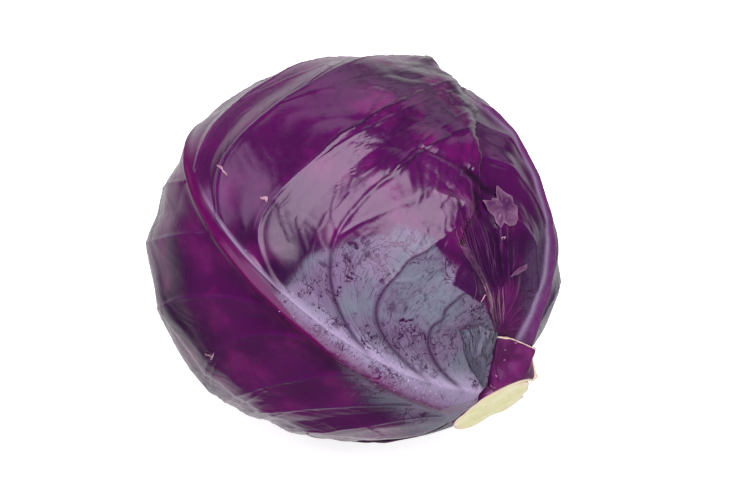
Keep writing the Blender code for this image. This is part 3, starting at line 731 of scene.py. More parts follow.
def leaf_shapes(name):
    """Grids of a leaf's outer and inner face, laid upright, and the values its skin is coloured by."""
    leaf = LEAVES[name]
    order = ORDER.index(name)
    rows, columns = stations(name)
    row, column, points, inside = fields(name, rows, columns)
    covers = {other: cover_of(inside[other]) for other in ORDER}
    pile = sum(covers.values()) * PLAIN_DEPTH
    inner = head_shape(points) - BEDDING * pile + GAP
    for beneath in ORDER[:order]:
        inner = inner + covers[beneath] * layer_depth(LEAVES[beneath], points)
    above, shaded = np.zeros((2, len(points)))
    for outside in ORDER[order + 1 :]:
        above = np.maximum(above, covers[outside])
        shaded = np.maximum(shaded, smooth_step(inside[outside] / SHADE_REACH + 1.0))
    free = 1.0 - above
    distance, along = rib_place(leaf, points)
    half_width = along_rib(along, RIB_HALF_WIDTHS)
    height = leaf["rib"] * along_rib(along, RIB_HEIGHTS)
    away = np.abs(distance) / half_width
    crest = distance / half_width + RIB_CREST_SHIFT * smooth_step((along - 30.0) / 40.0)
    body = RIB_BODY[0] * hill(away, RIB_BODY[1])
    rib = height * (body + RIB_CREST[0] * hill(crest, RIB_CREST[1]))
    ridge = hill(distance / half_width - RIDGE_BAND[0], RIDGE_BAND[1]) * smooth_step((125.0 - along) / 30.0)
    rib = rib + RIB_RIDGE * ridge * leaf["rib"]
    # On the right leaf the pale line is a painted reflection along its midrib
    if name == "wrapper_leaf_3":
        ridge = hill(distance + SIDE_LINE[0], SIDE_LINE[1])
        ridge = ridge * smooth_step((105.0 - along) / 30.0)
    veins, vein, fine = vein_relief(leaf, points, distance, half_width)
    edge_depth = np.maximum(inside[name], 0.0)
    taper = smooth_step(edge_depth / RELIEF_TAPER)
    share = taper * (1.0 - (1.0 - COVERED_RELIEF) * above)
    (broad_height, broad_length), (small_height, small_length) = SWELLS
    swell = broad_height * waves(points, broad_length, leaf["seed"])
    swell = swell + small_height * waves(points, small_length, leaf["seed"] + 9)
    relief = rib + veins + swell * smooth_step(edge_depth / 0.01)
    polar, _ = polar_of(points)
    edge = np.exp(-(1.0 - np.abs(column)) / MARGIN_REACH)
    lift = leaf["wave"] * (0.5 + 0.5 * np.sin(row * MARGIN_LIFT[0] + leaf["seed"] * MARGIN_LIFT[1]))
    frill, along_turns, across_turns = MARGIN_FRILL
    lift = lift + frill * np.abs(np.sin(row * along_turns + column * across_turns))
    painted_shade, fold, crumpled = np.zeros((3, len(points)))
    fan = {key: np.zeros(len(points)) for key in ("fan", "fan_turn", "fan_reach")}
    if leaf is FRONT:
        flick = (column > 0) * FLICK[0] * hill(polar - FLICK[1], FLICK[2])
        lift = lift * np.where(column > 0, FRONT_LIFT, 1.0) + flick
    if name in ("wrapper_leaf_1", "wrapper_leaf_3"):
        extra, painted_shade, fold, fan = crumple(points)
        crumpled = extra * np.where(edge_depth > THIN_MARGIN, 1.0, smooth_step(inside[name] / 0.001))
        # Painted shade under the front leaf's curled tip
        curl = hill(polar - FLICK[1], FLICK[3]) * smooth_step((column - 0.93) / 0.04)
        painted_shade = np.maximum(painted_shade, SHADE * curl * (leaf is FRONT))
    lift = lift * edge * free * smooth_step((polar - 24.0) / 20.0)
    blade = EDGE_BLADE + (BLADE - EDGE_BLADE) * smooth_step(edge_depth / THIN_MARGIN)
    inner = inner + lift
    outer = inner + np.maximum(blade + share * relief + crumpled * free, EDGE_BLADE)
    outer = np.minimum(outer, rest_limit(points, leaf["press"] * PRESSED))
    outer = np.minimum(outer, cut_limit(points) - (0.0 if leaf is FRONT else COVERED_BASE))
    inner = np.minimum(inner, outer - EDGE_BLADE)
    crest = hill(distance + CREST_BAND[0], CREST_BAND[1])
    foot = hill(distance - FOOT_BAND[0] * half_width, FOOT_BAND[1])
    # The bare triangle: no bloom there, and painted shade
    bare = bare_shade_share(points) if leaf is FRONT else np.zeros(len(points))
    values = {
        "wax": wax_share(leaf, points) * free * (1.0 - bare),
        "rib": hill(away, RIB_BODY[1]),
        "crest": crest * smooth_step((along - 16.0) / 8.0),
        "foot": foot * smooth_step((88.0 - along) / 40.0),
        "ridge": ridge,
        "vein": vein * taper,
        "net": fine * taper,
        # Painted shade in creases, under the curled tip and beside covering leaves
        "painted_shade": np.maximum(painted_shade, SHADE * shaded),
        "fold": fold,
        "edge": np.exp(-edge_depth / MARGIN_LINE),
        "nick": nick_share(points),
        "blister": blistered(points) * (leaf is FRONT),
        "bare": bare,
        "fleck": hill(distance - FLECK_BAND[0], FLECK_BAND[1]) * smooth_step((100.0 - along) / 30.0),
    }
    values.update(fan)
    shape = (len(rows), len(columns))
    return outer[:, None] * points, inner[:, None] * points, values, row, column, shape


def join_faces(shape, thin):
    """Triangles of a closed shell: a fine outer grid, a thin times coarser inner one, and their rim."""
    row_count, column_count = shape
    across, along = np.meshgrid(np.arange(column_count - 1), np.arange(row_count - 1))

    def split(columns, across, along, first, flip):
        """Two triangles of each cell of a grid, cut the other way on its right half."""
        near = first + along * columns + across
        far = near + columns
        right = (across >= (columns - 1) // 2)[..., None, None]
        one = np.stack([np.stack([near, near + 1, far], -1), np.stack([near + 1, far + 1, far], -1)], -2)
        two = np.stack([np.stack([near, near + 1, far + 1], -1), np.stack([near, far + 1, far], -1)], -2)
        faces = np.where(right, one, two).reshape(-1, 3)
        return faces[:, ::-1] if flip else faces

    outer = split(column_count, across, along, 0, False)
    inner_rows = (row_count - 1) // thin + 1
    inner_columns = (column_count - 1) // thin + 1
    first = row_count * column_count
    across, along = np.meshgrid(np.arange(inner_columns - 1), np.arange(inner_rows - 1))
    inner = split(inner_columns, across, along, first, True)

    def rim_of(rows, columns, first):
        """Places round the rim of a grid, once round."""
        bottom = np.arange(columns)
        right = np.arange(1, rows) * columns + columns - 1
        top = (rows - 1) * columns + np.arange(columns - 2, -1, -1)
        left = np.arange(rows - 2, 0, -1) * columns
        return first + np.concatenate([bottom, right, top, left])

    wide, narrow = rim_of(row_count, column_count, 0), rim_of(inner_rows, inner_columns, first)
    rim = []
    for place in range(len(narrow)):
        low, high = narrow[place], narrow[(place + 1) % len(narrow)]
        run = [wide[(place * thin + step) % len(wide)] for step in range(thin + 1)]
        half = thin // 2
        for step in range(thin):
            rim.append((run[step + 1], run[step], low if step < half else high))
        rim.append((run[half], low, high))
    return np.concatenate([outer, inner, np.array(rim)])


def mesh_object(name, points, faces, values=None):
    """A smooth-shaded piece at the origin, with its place in its mesh and its values as attributes."""
    data = bpy.data.meshes.new(name)
    faces = faces.tolist() if isinstance(faces, np.ndarray) else faces
    data.from_pydata(np.asarray(points).tolist(), [], faces)
    data.transform(LAID_DOWN)
    for key, numbers in (values or {}).items():
        layer = data.attributes.new(key, "FLOAT", "POINT")
        layer.data.foreach_set("value", np.asarray(numbers, np.float32))
    data.validate()
    clean = bmesh.new()
    clean.from_mesh(data)
    bmesh.ops.recalc_face_normals(clean, faces=clean.faces[:])
    clean.to_mesh(data)
    clean.free()
    data.shade_smooth()
    piece = bpy.data.objects.new(name, data)
    bpy.context.scene.collection.objects.link(piece)
    return piece


def leaf_piece(name, material):
    """One fine leaf as a closed shell, with a UV map that follows its rows and columns."""
    outer, inner, values, row, column, shape = leaf_shapes(name)
    thin = INNER_THINNING
    keep = np.zeros(shape, bool)
    keep[::thin, ::thin] = True
    keep = keep.ravel()
    joined = {key: np.concatenate([numbers, numbers[keep]]) for key, numbers in values.items()}
    joined["under"] = np.concatenate([np.zeros(len(outer)), np.ones(int(keep.sum()))])
    joined["fleck"][len(outer) :] = 0.0
    piece = mesh_object(
        name + "_fine", np.concatenate([outer, inner[keep]]), join_faces(shape, thin), joined
    )
    places = np.stack([row * ROW_LENGTH, column], -1)
    places = np.concatenate([places, places[keep]])
    layer = piece.data.uv_layers.new(name="leaf")
    corners = np.empty(len(piece.data.loops), np.int32)
    piece.data.loops.foreach_get("vertex_index", corners)
    layer.data.foreach_set("uv", places[corners].astype(np.float32).ravel())
    piece.data.materials.append(material)
    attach(piece, "root")
    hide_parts(name)


# Materials


# Sockets of a Mix node that mixes colours
MIX_SHARE = 0
MIX_FIRST = 6
MIX_SECOND = 7
MIX_RESULT = 2


class Shader:
    """A Principled material whose nodes are added one call at a time."""

    def __init__(self, name, **uniform):
        """Uniform values are set on the sockets of the same names."""
        self.material = bpy.data.materials.new(name)
        self.material.use_nodes = True
        self.tree = self.material.node_tree
        self.surface = self.tree.nodes["Principled BSDF"]
        for socket, value in uniform.items():
            self.surface.inputs[socket.replace("_", " ")].default_value = value
        self.place = self.add("ShaderNodeTexCoord").outputs["Object"]

    def add(self, kind, inputs=None, **settings):
        """A node of a kind, with its settings, and its inputs linked or set."""
        made = self.tree.nodes.new(kind)
        for key, value in settings.items():
            setattr(made, key, value)
        for socket, value in (inputs or {}).items():
            self.feed(value, made.inputs[socket])
        return made

    def feed(self, value, socket):
        """Links another node's output to a socket, or sets a plain value on it."""
        if isinstance(value, bpy.types.NodeSocket):
            self.tree.links.new(value, socket)
        else:
            socket.default_value = value

    def math(self, operation, first, second=0.0, third=0.0, clamp=False):
        inputs = {0: first, 1: second, 2: third}
        return self.add("ShaderNodeMath", inputs, operation=operation, use_clamp=clamp).outputs[0]

    def attribute(self, name):
        return self.add("ShaderNodeAttribute", attribute_name=name).outputs["Fac"]

    def noise(self, scale, detail=3.0, roughness=0.55, place=None, distortion=0.0):
        inputs = {
            "Vector": place or self.place,
            "Scale": scale,
            "Detail": detail,
            "Roughness": roughness,
            "Distortion": distortion,
        }
        return self.add("ShaderNodeTexNoise", inputs).outputs["Fac"]

    def band(self, value, low, high, start=0.0, end=1.0):
        """Goes smoothly from start to end while the value goes from low to high."""
        inputs = {"Value": value, 1: low, 2: high, 3: start, 4: end}
        return self.add("ShaderNodeMapRange", inputs, interpolation_type="SMOOTHSTEP").outputs[0]

    def mix(self, share, first, second):
        """The first colour, with a share of the second."""
        inputs = {MIX_SHARE: share, MIX_FIRST: first, MIX_SECOND: second}
        return self.add("ShaderNodeMix", inputs, data_type="RGBA").outputs[MIX_RESULT]

    def stretched(self, scale, source=None, rotation=(0.0, 0.0, 0.0)):
        """Coordinates drawn out and turned."""
        inputs = {"Vector": source or self.place, "Scale": scale, "Rotation": rotation}
        return self.add("ShaderNodeMapping", inputs).outputs[0]

    def finish(self, colour=None, roughness=None, height=None, depth=0.0005, strength=1.0):
        """Sets the surface's colour, roughness and relief, and gives the material."""
        if colour is not None:
            self.feed(colour, self.surface.inputs["Base Color"])
        if roughness is not None:
            self.feed(roughness, self.surface.inputs["Roughness"])
        if height is not None:
            inputs = {"Height": height, "Distance": depth, "Strength": strength}
            self.feed(self.add("ShaderNodeBump", inputs).outputs[0], self.surface.inputs["Normal"])
        return self.material


# Colours of the leaves, of their bloom, of the torn places, and of the painted shade, highlights and
# reflections on them
DEEP_VIOLET = (0.017, 0.0010, 0.022, 1.0)
PURPLE = (0.050, 0.0018, 0.048, 1.0)
SHADED_PURPLE = (0.024, 0.0012, 0.026, 1.0)
MAGENTA = (0.125, 0.0040, 0.088, 1.0)
RIB_MAGENTA = (0.066, 0.0022, 0.046, 1.0)
RIDGE_AND_REFLECTION_LILAC = (0.300, 0.260, 0.360, 1.0)
NICK_PINK = (0.520, 0.330, 0.380, 1.0)
VEIN_HIGHLIGHT_VIOLET = (0.052, 0.0030, 0.062, 1.0)
WAX = (0.092, 0.116, 0.140, 1.0)
WAX_LILAC = (0.112, 0.084, 0.138, 1.0)
WAX_RIB = (0.200, 0.155, 0.225, 1.0)
WAX_FOOT = (0.250, 0.240, 0.320, 1.0)
FAN_MAUVE = (0.125, 0.045, 0.115, 1.0)
# Dark violet of skin where the bloom is rubbed off; also the painted shade in the bare triangle
RUBBED_AND_SHADE_VIOLET = (0.024, 0.0026, 0.030, 1.0)
PALE_EDGE = (0.26, 0.18, 0.22, 1.0)
# Near black: painted shade in creases, grooves and covered strips, and the flap's cracks
BLACKISH = (0.006, 0.001, 0.008, 1.0)
UNDERSIDE = (0.22, 0.10, 0.22, 1.0)
SIDE_RIB = (0.080, 0.020, 0.080, 1.0)
# Colours of the cut and of the old leaf bases round it
CREAM = (0.55, 0.57, 0.32, 1.0)
GREENISH_CREAM = (0.49, 0.51, 0.22, 1.0)
DULL_CREAM = (0.37, 0.37, 0.17, 1.0)
PINKISH_RIM = (0.60, 0.46, 0.38, 1.0)
STUB_PURPLE = (0.060, 0.002, 0.050, 1.0)
STUB_MAGENTA = (0.105, 0.006, 0.080, 1.0)
STUB_SPECK = (0.5, 0.3, 0.4, 1.0)
SLATE = (0.050, 0.052, 0.082, 1.0)
PALE_SLATE = (0.110, 0.120, 0.155, 1.0)
FLAP_FIBRE = (0.040, 0.018, 0.048, 1.0)
FLAP_RIM = (0.05, 0.018, 0.045, 1.0)
# Colours of the torn scraps, the fibres, and the flecks that are painted glints
SCRAP_VIOLET = (0.050, 0.012, 0.052, 1.0)
SCRAP_MAUVE = (0.135, 0.066, 0.120, 1.0)
SCRAP_SHADE = (0.036, 0.004, 0.036, 1.0)
SCRAP_RIM = (0.25, 0.15, 0.21, 1.0)
FIBRE_MAUVE = (0.060, 0.020, 0.058, 1.0)
FIBRE_TAN = (0.150, 0.090, 0.110, 1.0)
FIBRE_PALE = (0.42, 0.27, 0.32, 1.0)
FLECK_MAUVE = (0.36, 0.24, 0.33, 1.0)
FLECK_GLINT = (0.62, 0.52, 0.56, 1.0)

# How far light bends in fresh, moist skin and in dry skin
MOIST = 1.42
DRY = 1.4


def leaf_material(
    name, rib_colour, wax_amount=1.0, purple=PURPLE, edge_tone=PALE_EDGE, ridge_and_reflection_amount=0.7, flush=0.4
):
    """Waxy skin: violet to purple blade, magenta or pale midrib, veins, and a rubbed blue-grey bloom."""
    skin = Shader(name, IOR=MOIST)
    broad = skin.noise(16.0, 2.0)
    patches = skin.noise(60.0, 3.0)
    grain = skin.noise(420.0, 4.0, 0.65)
    colour = skin.mix(skin.band(broad, 0.36, 0.64), DEEP_VIOLET, purple)
    colour = skin.mix(skin.math("MULTIPLY", skin.band(patches, 0.45, 0.72), flush), colour, MAGENTA)
    veins = skin.attribute("vein")
    net = skin.attribute("net")
    # Painted highlight: veins and their fine net lightened to violet
    colour = skin.mix(skin.math("MULTIPLY", veins, 0.35), colour, VEIN_HIGHLIGHT_VIOLET)
    colour = skin.mix(skin.math("MULTIPLY", net, 0.20), colour, VEIN_HIGHLIGHT_VIOLET)
    # Painted shade, near black, on the fine veins that lie sunk between the blisters
    blister_vein_shade = skin.math("MULTIPLY", skin.math("MAXIMUM", net, veins), skin.attribute("blister"))
    colour = skin.mix(skin.math("MULTIPLY", blister_vein_shade, 0.75), colour, BLACKISH)
    rib = skin.attribute("rib")
    rib_tone = skin.math("MULTIPLY", rib, skin.band(grain, 0.2, 0.7, 0.72, 1.0))
    colour = skin.mix(rib_tone, colour, rib_colour)

    # Bloom: dense near the stalk, brushed thin in fine streaks further up, scratched in dark lines
    wax_here = skin.attribute("wax")
    crest = skin.attribute("crest")
    uv = skin.add("ShaderNodeUVMap", uv_map="leaf").outputs[0]
    streaks = skin.noise(30.0, 4.0, 0.7, skin.stretched((4.2, 0.55, 1.0), uv, (0.0, 0.0, 0.35)), 0.5)
    brushed = skin.noise(24.0, 3.0, 0.6, skin.stretched((8.0, 1.6, 1.0), uv, (0.0, 0.0, 0.45)))
    fine = skin.noise(430.0, 4.0, 0.8)
    thin = skin.band(wax_here, 0.25, 1.0, 0.10, 0.0)
    rubbed = skin.band(skin.noise(34.0, 2.0), 0.36, 0.60, -0.035, 0.025)
    thin = skin.math("ADD", thin, rubbed)
    streaked = skin.band(skin.math("ADD", streaks, thin), 0.53, 0.62)
    speckled = skin.band(skin.math("ADD", fine, thin), 0.54, 0.63)
    squiggle = skin.noise(95.0, 4.0, 0.6, distortion=1.2)
    line = skin.math("ABSOLUTE", skin.math("SUBTRACT", squiggle, 0.5))
    line = skin.band(line, 0.004, 0.020, 1.0, 0.0)
    scratch = skin.math("MULTIPLY", line, skin.band(skin.noise(62.0, 3.0), 0.47, 0.54))
    blots = skin.band(skin.noise(180.0, 4.0, 0.7), 0.54, 0.62)
    blots = skin.math("MULTIPLY", blots, skin.band(patches, 0.42, 0.58))
    worn = skin.math("MAXIMUM", scratch, skin.math("MULTIPLY", blots, 0.85))
    worn = skin.math("MAXIMUM", worn, skin.math("MULTIPLY", streaked, 0.75))
    worn = skin.math("MAXIMUM", worn, skin.math("MULTIPLY", speckled, 0.55))
    worn = skin.math("MAXIMUM", worn, skin.math("MULTIPLY", veins, 0.85))
    bloom = skin.math("ADD", wax_here, skin.math("MULTIPLY_ADD", patches, 0.4, -0.22))
    bloom = skin.band(bloom, 0.15, 0.95)
    bloom = skin.math("MULTIPLY", bloom, skin.band(brushed, 0.25, 0.7, 0.78, 1.0))
    bloom = skin.math("MULTIPLY", bloom, skin.math("SUBTRACT", 1.0, worn, clamp=True))
    bare = skin.math("MULTIPLY_ADD", crest, skin.band(grain, 0.3, 0.62, -1.0, -0.72), 1.0)
    bloom = skin.math("MULTIPLY", bloom, bare)
    bloom = skin.math("MULTIPLY", bloom, wax_amount)
    wax = skin.mix(skin.band(patches, 0.35, 0.65), WAX, WAX_LILAC)
    wax = skin.mix(skin.math("MULTIPLY", rib, 0.7), wax, WAX_RIB)
    wax = skin.mix(skin.math("MULTIPLY", skin.attribute("foot"), 0.8), wax, WAX_FOOT)
    base = skin.mix(skin.math("MULTIPLY", wax_here, skin.math("SUBTRACT", 1.0, crest)), colour, RUBBED_AND_SHADE_VIOLET)
    colour = skin.mix(bloom, base, wax)
    # Pale ridge at the midrib's foot; on the right leaf, a painted reflection along its midrib
    colour = skin.mix(skin.math("MULTIPLY", skin.attribute("ridge"), ridge_and_reflection_amount), colour, RIDGE_AND_REFLECTION_LILAC)
    # The bare triangle beside the folded margin is darkened with painted shade
    colour = skin.mix(skin.math("MULTIPLY", skin.attribute("bare"), 0.65), colour, RUBBED_AND_SHADE_VIOLET)

    # Fibres of the torn margin, fanned out from beside the stalk, with painted shade in the grooves between
    # them
    turn = skin.math("MULTIPLY", skin.attribute("fan_turn"), 9.0)
    reach = skin.math("MULTIPLY", skin.attribute("fan_reach"), 2.2)
    place = skin.add("ShaderNodeCombineXYZ", {0: turn, 1: reach}).outputs[0]
    strands = skin.noise(1.3, 5.0, 0.75, place, 0.5)
    fan = skin.attribute("fan")
    pale = skin.math("MULTIPLY", skin.band(strands, 0.52, 0.66), skin.math("MULTIPLY", fan, 0.75))
    colour = skin.mix(pale, colour, FAN_MAUVE)
    # Painted shade in the grooves between the fibres, where their relief is lowest
    strand_groove_shade = skin.math("MULTIPLY", skin.band(strands, 0.34, 0.46, 1.0, 0.0), skin.math("MULTIPLY", fan, 0.85))
    colour = skin.mix(strand_groove_shade, colour, BLACKISH)

    # Folds, margins, nicks, painted shade in creases and beside covering leaves, and the inner face
    colour = skin.mix(skin.math("MULTIPLY", skin.attribute("fold"), 0.35), colour, PALE_EDGE)
    colour = skin.mix(skin.math("MULTIPLY", skin.attribute("edge"), 0.35), colour, edge_tone)
    colour = skin.mix(skin.attribute("nick"), colour, NICK_PINK)
    # Painted shade, near black, in creases, under the curled tip and beside covering leaves
    colour = skin.mix(skin.attribute("painted_shade"), colour, BLACKISH)
    colour = skin.mix(skin.attribute("under"), colour, UNDERSIDE)

    # Gloss, dulled by the bloom and along the midrib, and fine relief
    roughness = skin.band(grain, 0.3, 0.7, 0.17, 0.27)
    roughness = skin.math("MULTIPLY_ADD", bloom, 0.30, roughness)
    skin.feed(skin.band(rib, 0.1, 0.9, 0.5, 0.14), skin.surface.inputs["Specular IOR Level"])
    height = skin.math("MULTIPLY_ADD", grain, 0.12, skin.math("MULTIPLY", patches, 0.5))
    height = skin.math("MULTIPLY_ADD", bloom, 0.25, height)
    inputs = {"Vector": skin.place, "Scale": 260.0}
    cells = skin.add("ShaderNodeTexVoronoi", inputs, feature="DISTANCE_TO_EDGE").outputs["Distance"]
    reticule = skin.band(cells, 0.0, 0.10, 1.0, 0.0)
    height = skin.math("MULTIPLY_ADD", reticule, 0.02, height)
    height = skin.math("MULTIPLY_ADD", skin.math("MULTIPLY", strands, fan), 1.6, height)
    return skin.finish(colour, roughness, height, 0.00030, 0.5)


def stalk_material():
    """Moist cream flesh of the cut, with a purple skin round it."""
    flesh = Shader("cut_cream_flesh", IOR=MOIST)
    blotch = flesh.noise(90.0, 4.0, 0.6)
    grain = flesh.noise(520.0, 3.0, 0.6)
    cream = flesh.mix(flesh.band(blotch, 0.35, 0.7), CREAM, GREENISH_CREAM)
    cream = flesh.mix(flesh.math("MULTIPLY", flesh.band(grain, 0.55, 0.75), 0.3), cream, DULL_CREAM)
    rim = flesh.band(flesh.attribute("rim"), 0.0, 0.8)
    cream = flesh.mix(flesh.math("MULTIPLY", rim, 0.5), cream, PINKISH_RIM)
    purple = flesh.mix(flesh.band(blotch, 0.4, 0.6), STUB_PURPLE, STUB_MAGENTA)
    specks = flesh.band(flesh.noise(330.0, 3.0, 0.6), 0.66, 0.72)
    purple = flesh.mix(flesh.math("MULTIPLY", specks, 0.7), purple, STUB_SPECK)
    colour = flesh.mix(flesh.attribute("skin"), cream, purple)
    roughness = flesh.band(grain, 0.3, 0.7, 0.32, 0.5)
    height = flesh.math("MULTIPLY_ADD", grain, 0.3, blotch)
    return flesh.finish(colour, roughness, height, 0.0004, 0.6)


def flap_material():
    """Dry, dulled skin of a torn leaf base: blue-grey bloom, dark cracks and a blackish torn rim."""
    skin = Shader("flap_skin", IOR=DRY)
    patches = skin.noise(110.0, 4.0, 0.6)
    length = skin.math("MULTIPLY", skin.attribute("row"), 1.6)
    width = skin.math("MULTIPLY", skin.attribute("across"), 7.0)
    place = skin.add("ShaderNodeCombineXYZ", {0: width, 1: length}).outputs[0]
    fibre = skin.noise(2.0, 4.0, 0.7, place, 0.6)
    cracks = skin.math("ABSOLUTE", skin.math("SUBTRACT", fibre, 0.5))
    cracks = skin.band(cracks, 0.008, 0.045, 1.0, 0.0)
    cracks = skin.math("MULTIPLY", cracks, skin.band(patches, 0.36, 0.52))
    colour = skin.mix(skin.band(patches, 0.35, 0.65), SLATE, PALE_SLATE)
    colour = skin.mix(skin.band(fibre, 0.30, 0.50, 0.7, 0.0), colour, FLAP_FIBRE)
    colour = skin.mix(cracks, colour, BLACKISH)
    colour = skin.mix(skin.attribute("rim"), colour, FLAP_RIM)
    height = skin.math("MULTIPLY_ADD", cracks, -0.8, patches)
    return skin.finish(colour, skin.band(patches, 0.3, 0.7, 0.42, 0.6), height, 0.0004, 0.7)


FLAP_SKIN = flap_material()
FRONT_SKIN = leaf_material("front_leaf_skin", RIB_MAGENTA, edge_tone=DEEP_VIOLET, flush=0.5)
SIDE_SKIN = leaf_material("side_leaf_skin", SIDE_RIB, 0.25, ridge_and_reflection_amount=0.4)
# The back leaves' skin is a copy darkened with painted shade: shaded purple and less magenta flush
SHADED_BACK_SKIN = leaf_material("shaded_back_leaf_skin", RIB_MAGENTA, 0.9, SHADED_PURPLE, flush=0.15)
STALK_SKIN = stalk_material()

LEAF_SKINS = {"wrapper_leaf_1": FRONT_SKIN, "wrapper_leaf_3": SIDE_SKIN}
for name in ORDER:
    leaf_piece(name, LEAF_SKINS.get(name, SHADED_BACK_SKIN))


# Heart: its grid, the room under the leaves, and how far the steps of its rolled leaves stand out

HEART_ROWS = 70
HEART_COLUMNS = 120
HEART_ROOM = 0.0006
HEART_STEP = 0.0010
# It lies under so many pressed layers
HEART_LAYER = 4.0


def capped_faces(places, columns):
    """Faces of rings of places, closed by a new place in the middle of the first and of the last ring."""
    rows = len(places) // columns
    faces = []
    for along in range(rows - 1):
        for across in range(columns):
            near = along * columns + across
            beside = along * columns + (across + 1) % columns
            faces.append((near, beside, beside + columns, near + columns))
    for first in (0, (rows - 1) * columns):
        ring = list(range(first, first + columns))
        places.append(np.mean([places[place] for place in ring], axis=0).tolist())
        for place in range(columns):
            faces.append((ring[place], ring[(place + 1) % columns], len(places) - 1))
    return faces


def heart_piece():
    """Tight inner head, with the steps of its rolled leaves round the crown."""
    columns = HEART_COLUMNS
    polar = np.linspace(4.0, 176.0, HEART_ROWS)
    azimuth = np.arange(columns) * 360.0 / columns
    grid_polar, grid_azimuth = (grid.ravel() for grid in np.meshgrid(polar, azimuth, indexing="ij"))
    points = unit(grid_polar, grid_azimuth)
    pile = sum(cover_of(inside_distance(leaf, points)) for leaf in LEAVES.values()) * PLAIN_DEPTH
    radius = head_shape(points) - BEDDING * pile - HEART_ROOM
    turn = (grid_azimuth / 360.0 * 3.0 + grid_polar / 70.0) % 1.0
    radius = radius - HEART_STEP * (1.0 - turn) * smooth_step((grid_polar - 120.0) / 30.0)
    radius = np.minimum(radius, rest_limit(points, HEART_LAYER * PRESSED))
    places = (radius[:, None] * points).tolist()
    piece = mesh_object("heart_fine", places, capped_faces(places, columns))
    skin = Shader("heart_skin", IOR=MOIST)
    tone = skin.mix(skin.band(skin.noise(30.0), 0.35, 0.65), DEEP_VIOLET, PURPLE)
    piece.data.materials.append(skin.finish(tone, 0.35, skin.noise(300.0), 0.0004, 0.5))
    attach(piece, "root")
    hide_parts("heart")


heart_piece()


# Stalk and stubs

STALK_END = 0.036
STALK_HALF_ANGLE = 11.8
# The stalk leans aside on its way out, by so much at the cut and towards this azimuth
STALK_ASIDE = 0.0015
STALK_ASIDE_AZIMUTH = -100.0
# Round the stalk: its columns, its mean size as a share of the cone, the swellings left by old leaf bases
# as height, number and turn, and the swelling share that is added all round
STALK_COLUMNS = 160
STALK_MEAN = 0.89
STALK_SWELLINGS = ((0.035, 3.0, 0.6), (0.03, 5.0, 2.0), (0.012, 8.0, 1.0))
STALK_SPARE = 0.035
# Rings down the stalk's side and across its cut
SIDE_RINGS = 26
CUT_RINGS = 26


def cut_depth(x, y):
    """How much further down the axis the slanting cut lies at a place across it."""
    lean = math.radians(CUT_SLANT_AZIMUTH)
    return (x * math.cos(lean) + y * math.sin(lean)) * math.tan(math.radians(CUT_SLANT))


def stalk_radius(distance, azimuth):
    """Radius of the stalk: a cone, with the swellings of old leaf bases."""
    turn = np.radians(azimuth)
    swelling = STALK_MEAN
    for height, number, start in STALK_SWELLINGS:
        swelling = swelling + height * np.cos(number * turn + start)
    return distance * math.tan(math.radians(STALK_HALF_ANGLE)) * (swelling + STALK_SPARE)


def stalk_piece():
    """Stalk with its slanting cut, which is marked by the knife and rounded at its rim."""
    columns = STALK_COLUMNS
    azimuth = np.arange(columns) * 360.0 / columns
    places, rim, skin = [], [], []
    side = np.linspace(STALK_END, CUT_DISTANCE - 0.0005, SIDE_RINGS)
    lean = math.radians(STALK_ASIDE_AZIMUTH)
    aside = (STALK_ASIDE * math.cos(lean), STALK_ASIDE * math.sin(lean))
    for distance in side:
        radius = stalk_radius(distance, azimuth)
        shift = (distance - STALK_END) / (CUT_DISTANCE - STALK_END)
        x = radius * np.cos(np.radians(azimuth)) + aside[0] * shift
        y = radius * np.sin(np.radians(azimuth)) + aside[1] * shift
        places += np.stack([x, y, -distance - shift**4 * cut_depth(x, y)], -1).tolist()
        rim += [1.0] * columns
        skin += [1.0] * columns
    for share in np.concatenate([[0.985, 0.965], np.linspace(0.93, 0.03, CUT_RINGS)]):
        radius = stalk_radius(CUT_DISTANCE, azimuth) * share
        x = aside[0] + radius * np.cos(np.radians(azimuth))
        y = aside[1] + radius * np.sin(np.radians(azimuth))
        knife = 0.00018 * np.sin(x * 900.0 + y * 300.0) * share + 0.0002 * np.sin(y * 420.0 + 1.0)
        round_off = 0.0006 * max(0.0, (share - 0.95) / 0.05) ** 2
        places += np.stack([x, y, -CUT_DISTANCE - cut_depth(x, y) + knife + round_off], -1).tolist()
        rim += [max(0.0, (share - 0.8) / 0.2)] * columns
        skin += [0.25 if share > 0.98 else 0.0] * columns
    faces = capped_faces(places, columns)
    rim += [0.0, 0.0]
    skin += [0.0, 0.0]
    piece = mesh_object("stalk_fine", places, faces, {"rim": rim, "skin": skin})
    piece.data.materials.append(STALK_SKIN)
    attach(piece, "root")
    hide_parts("stalk")


stalk_piece()


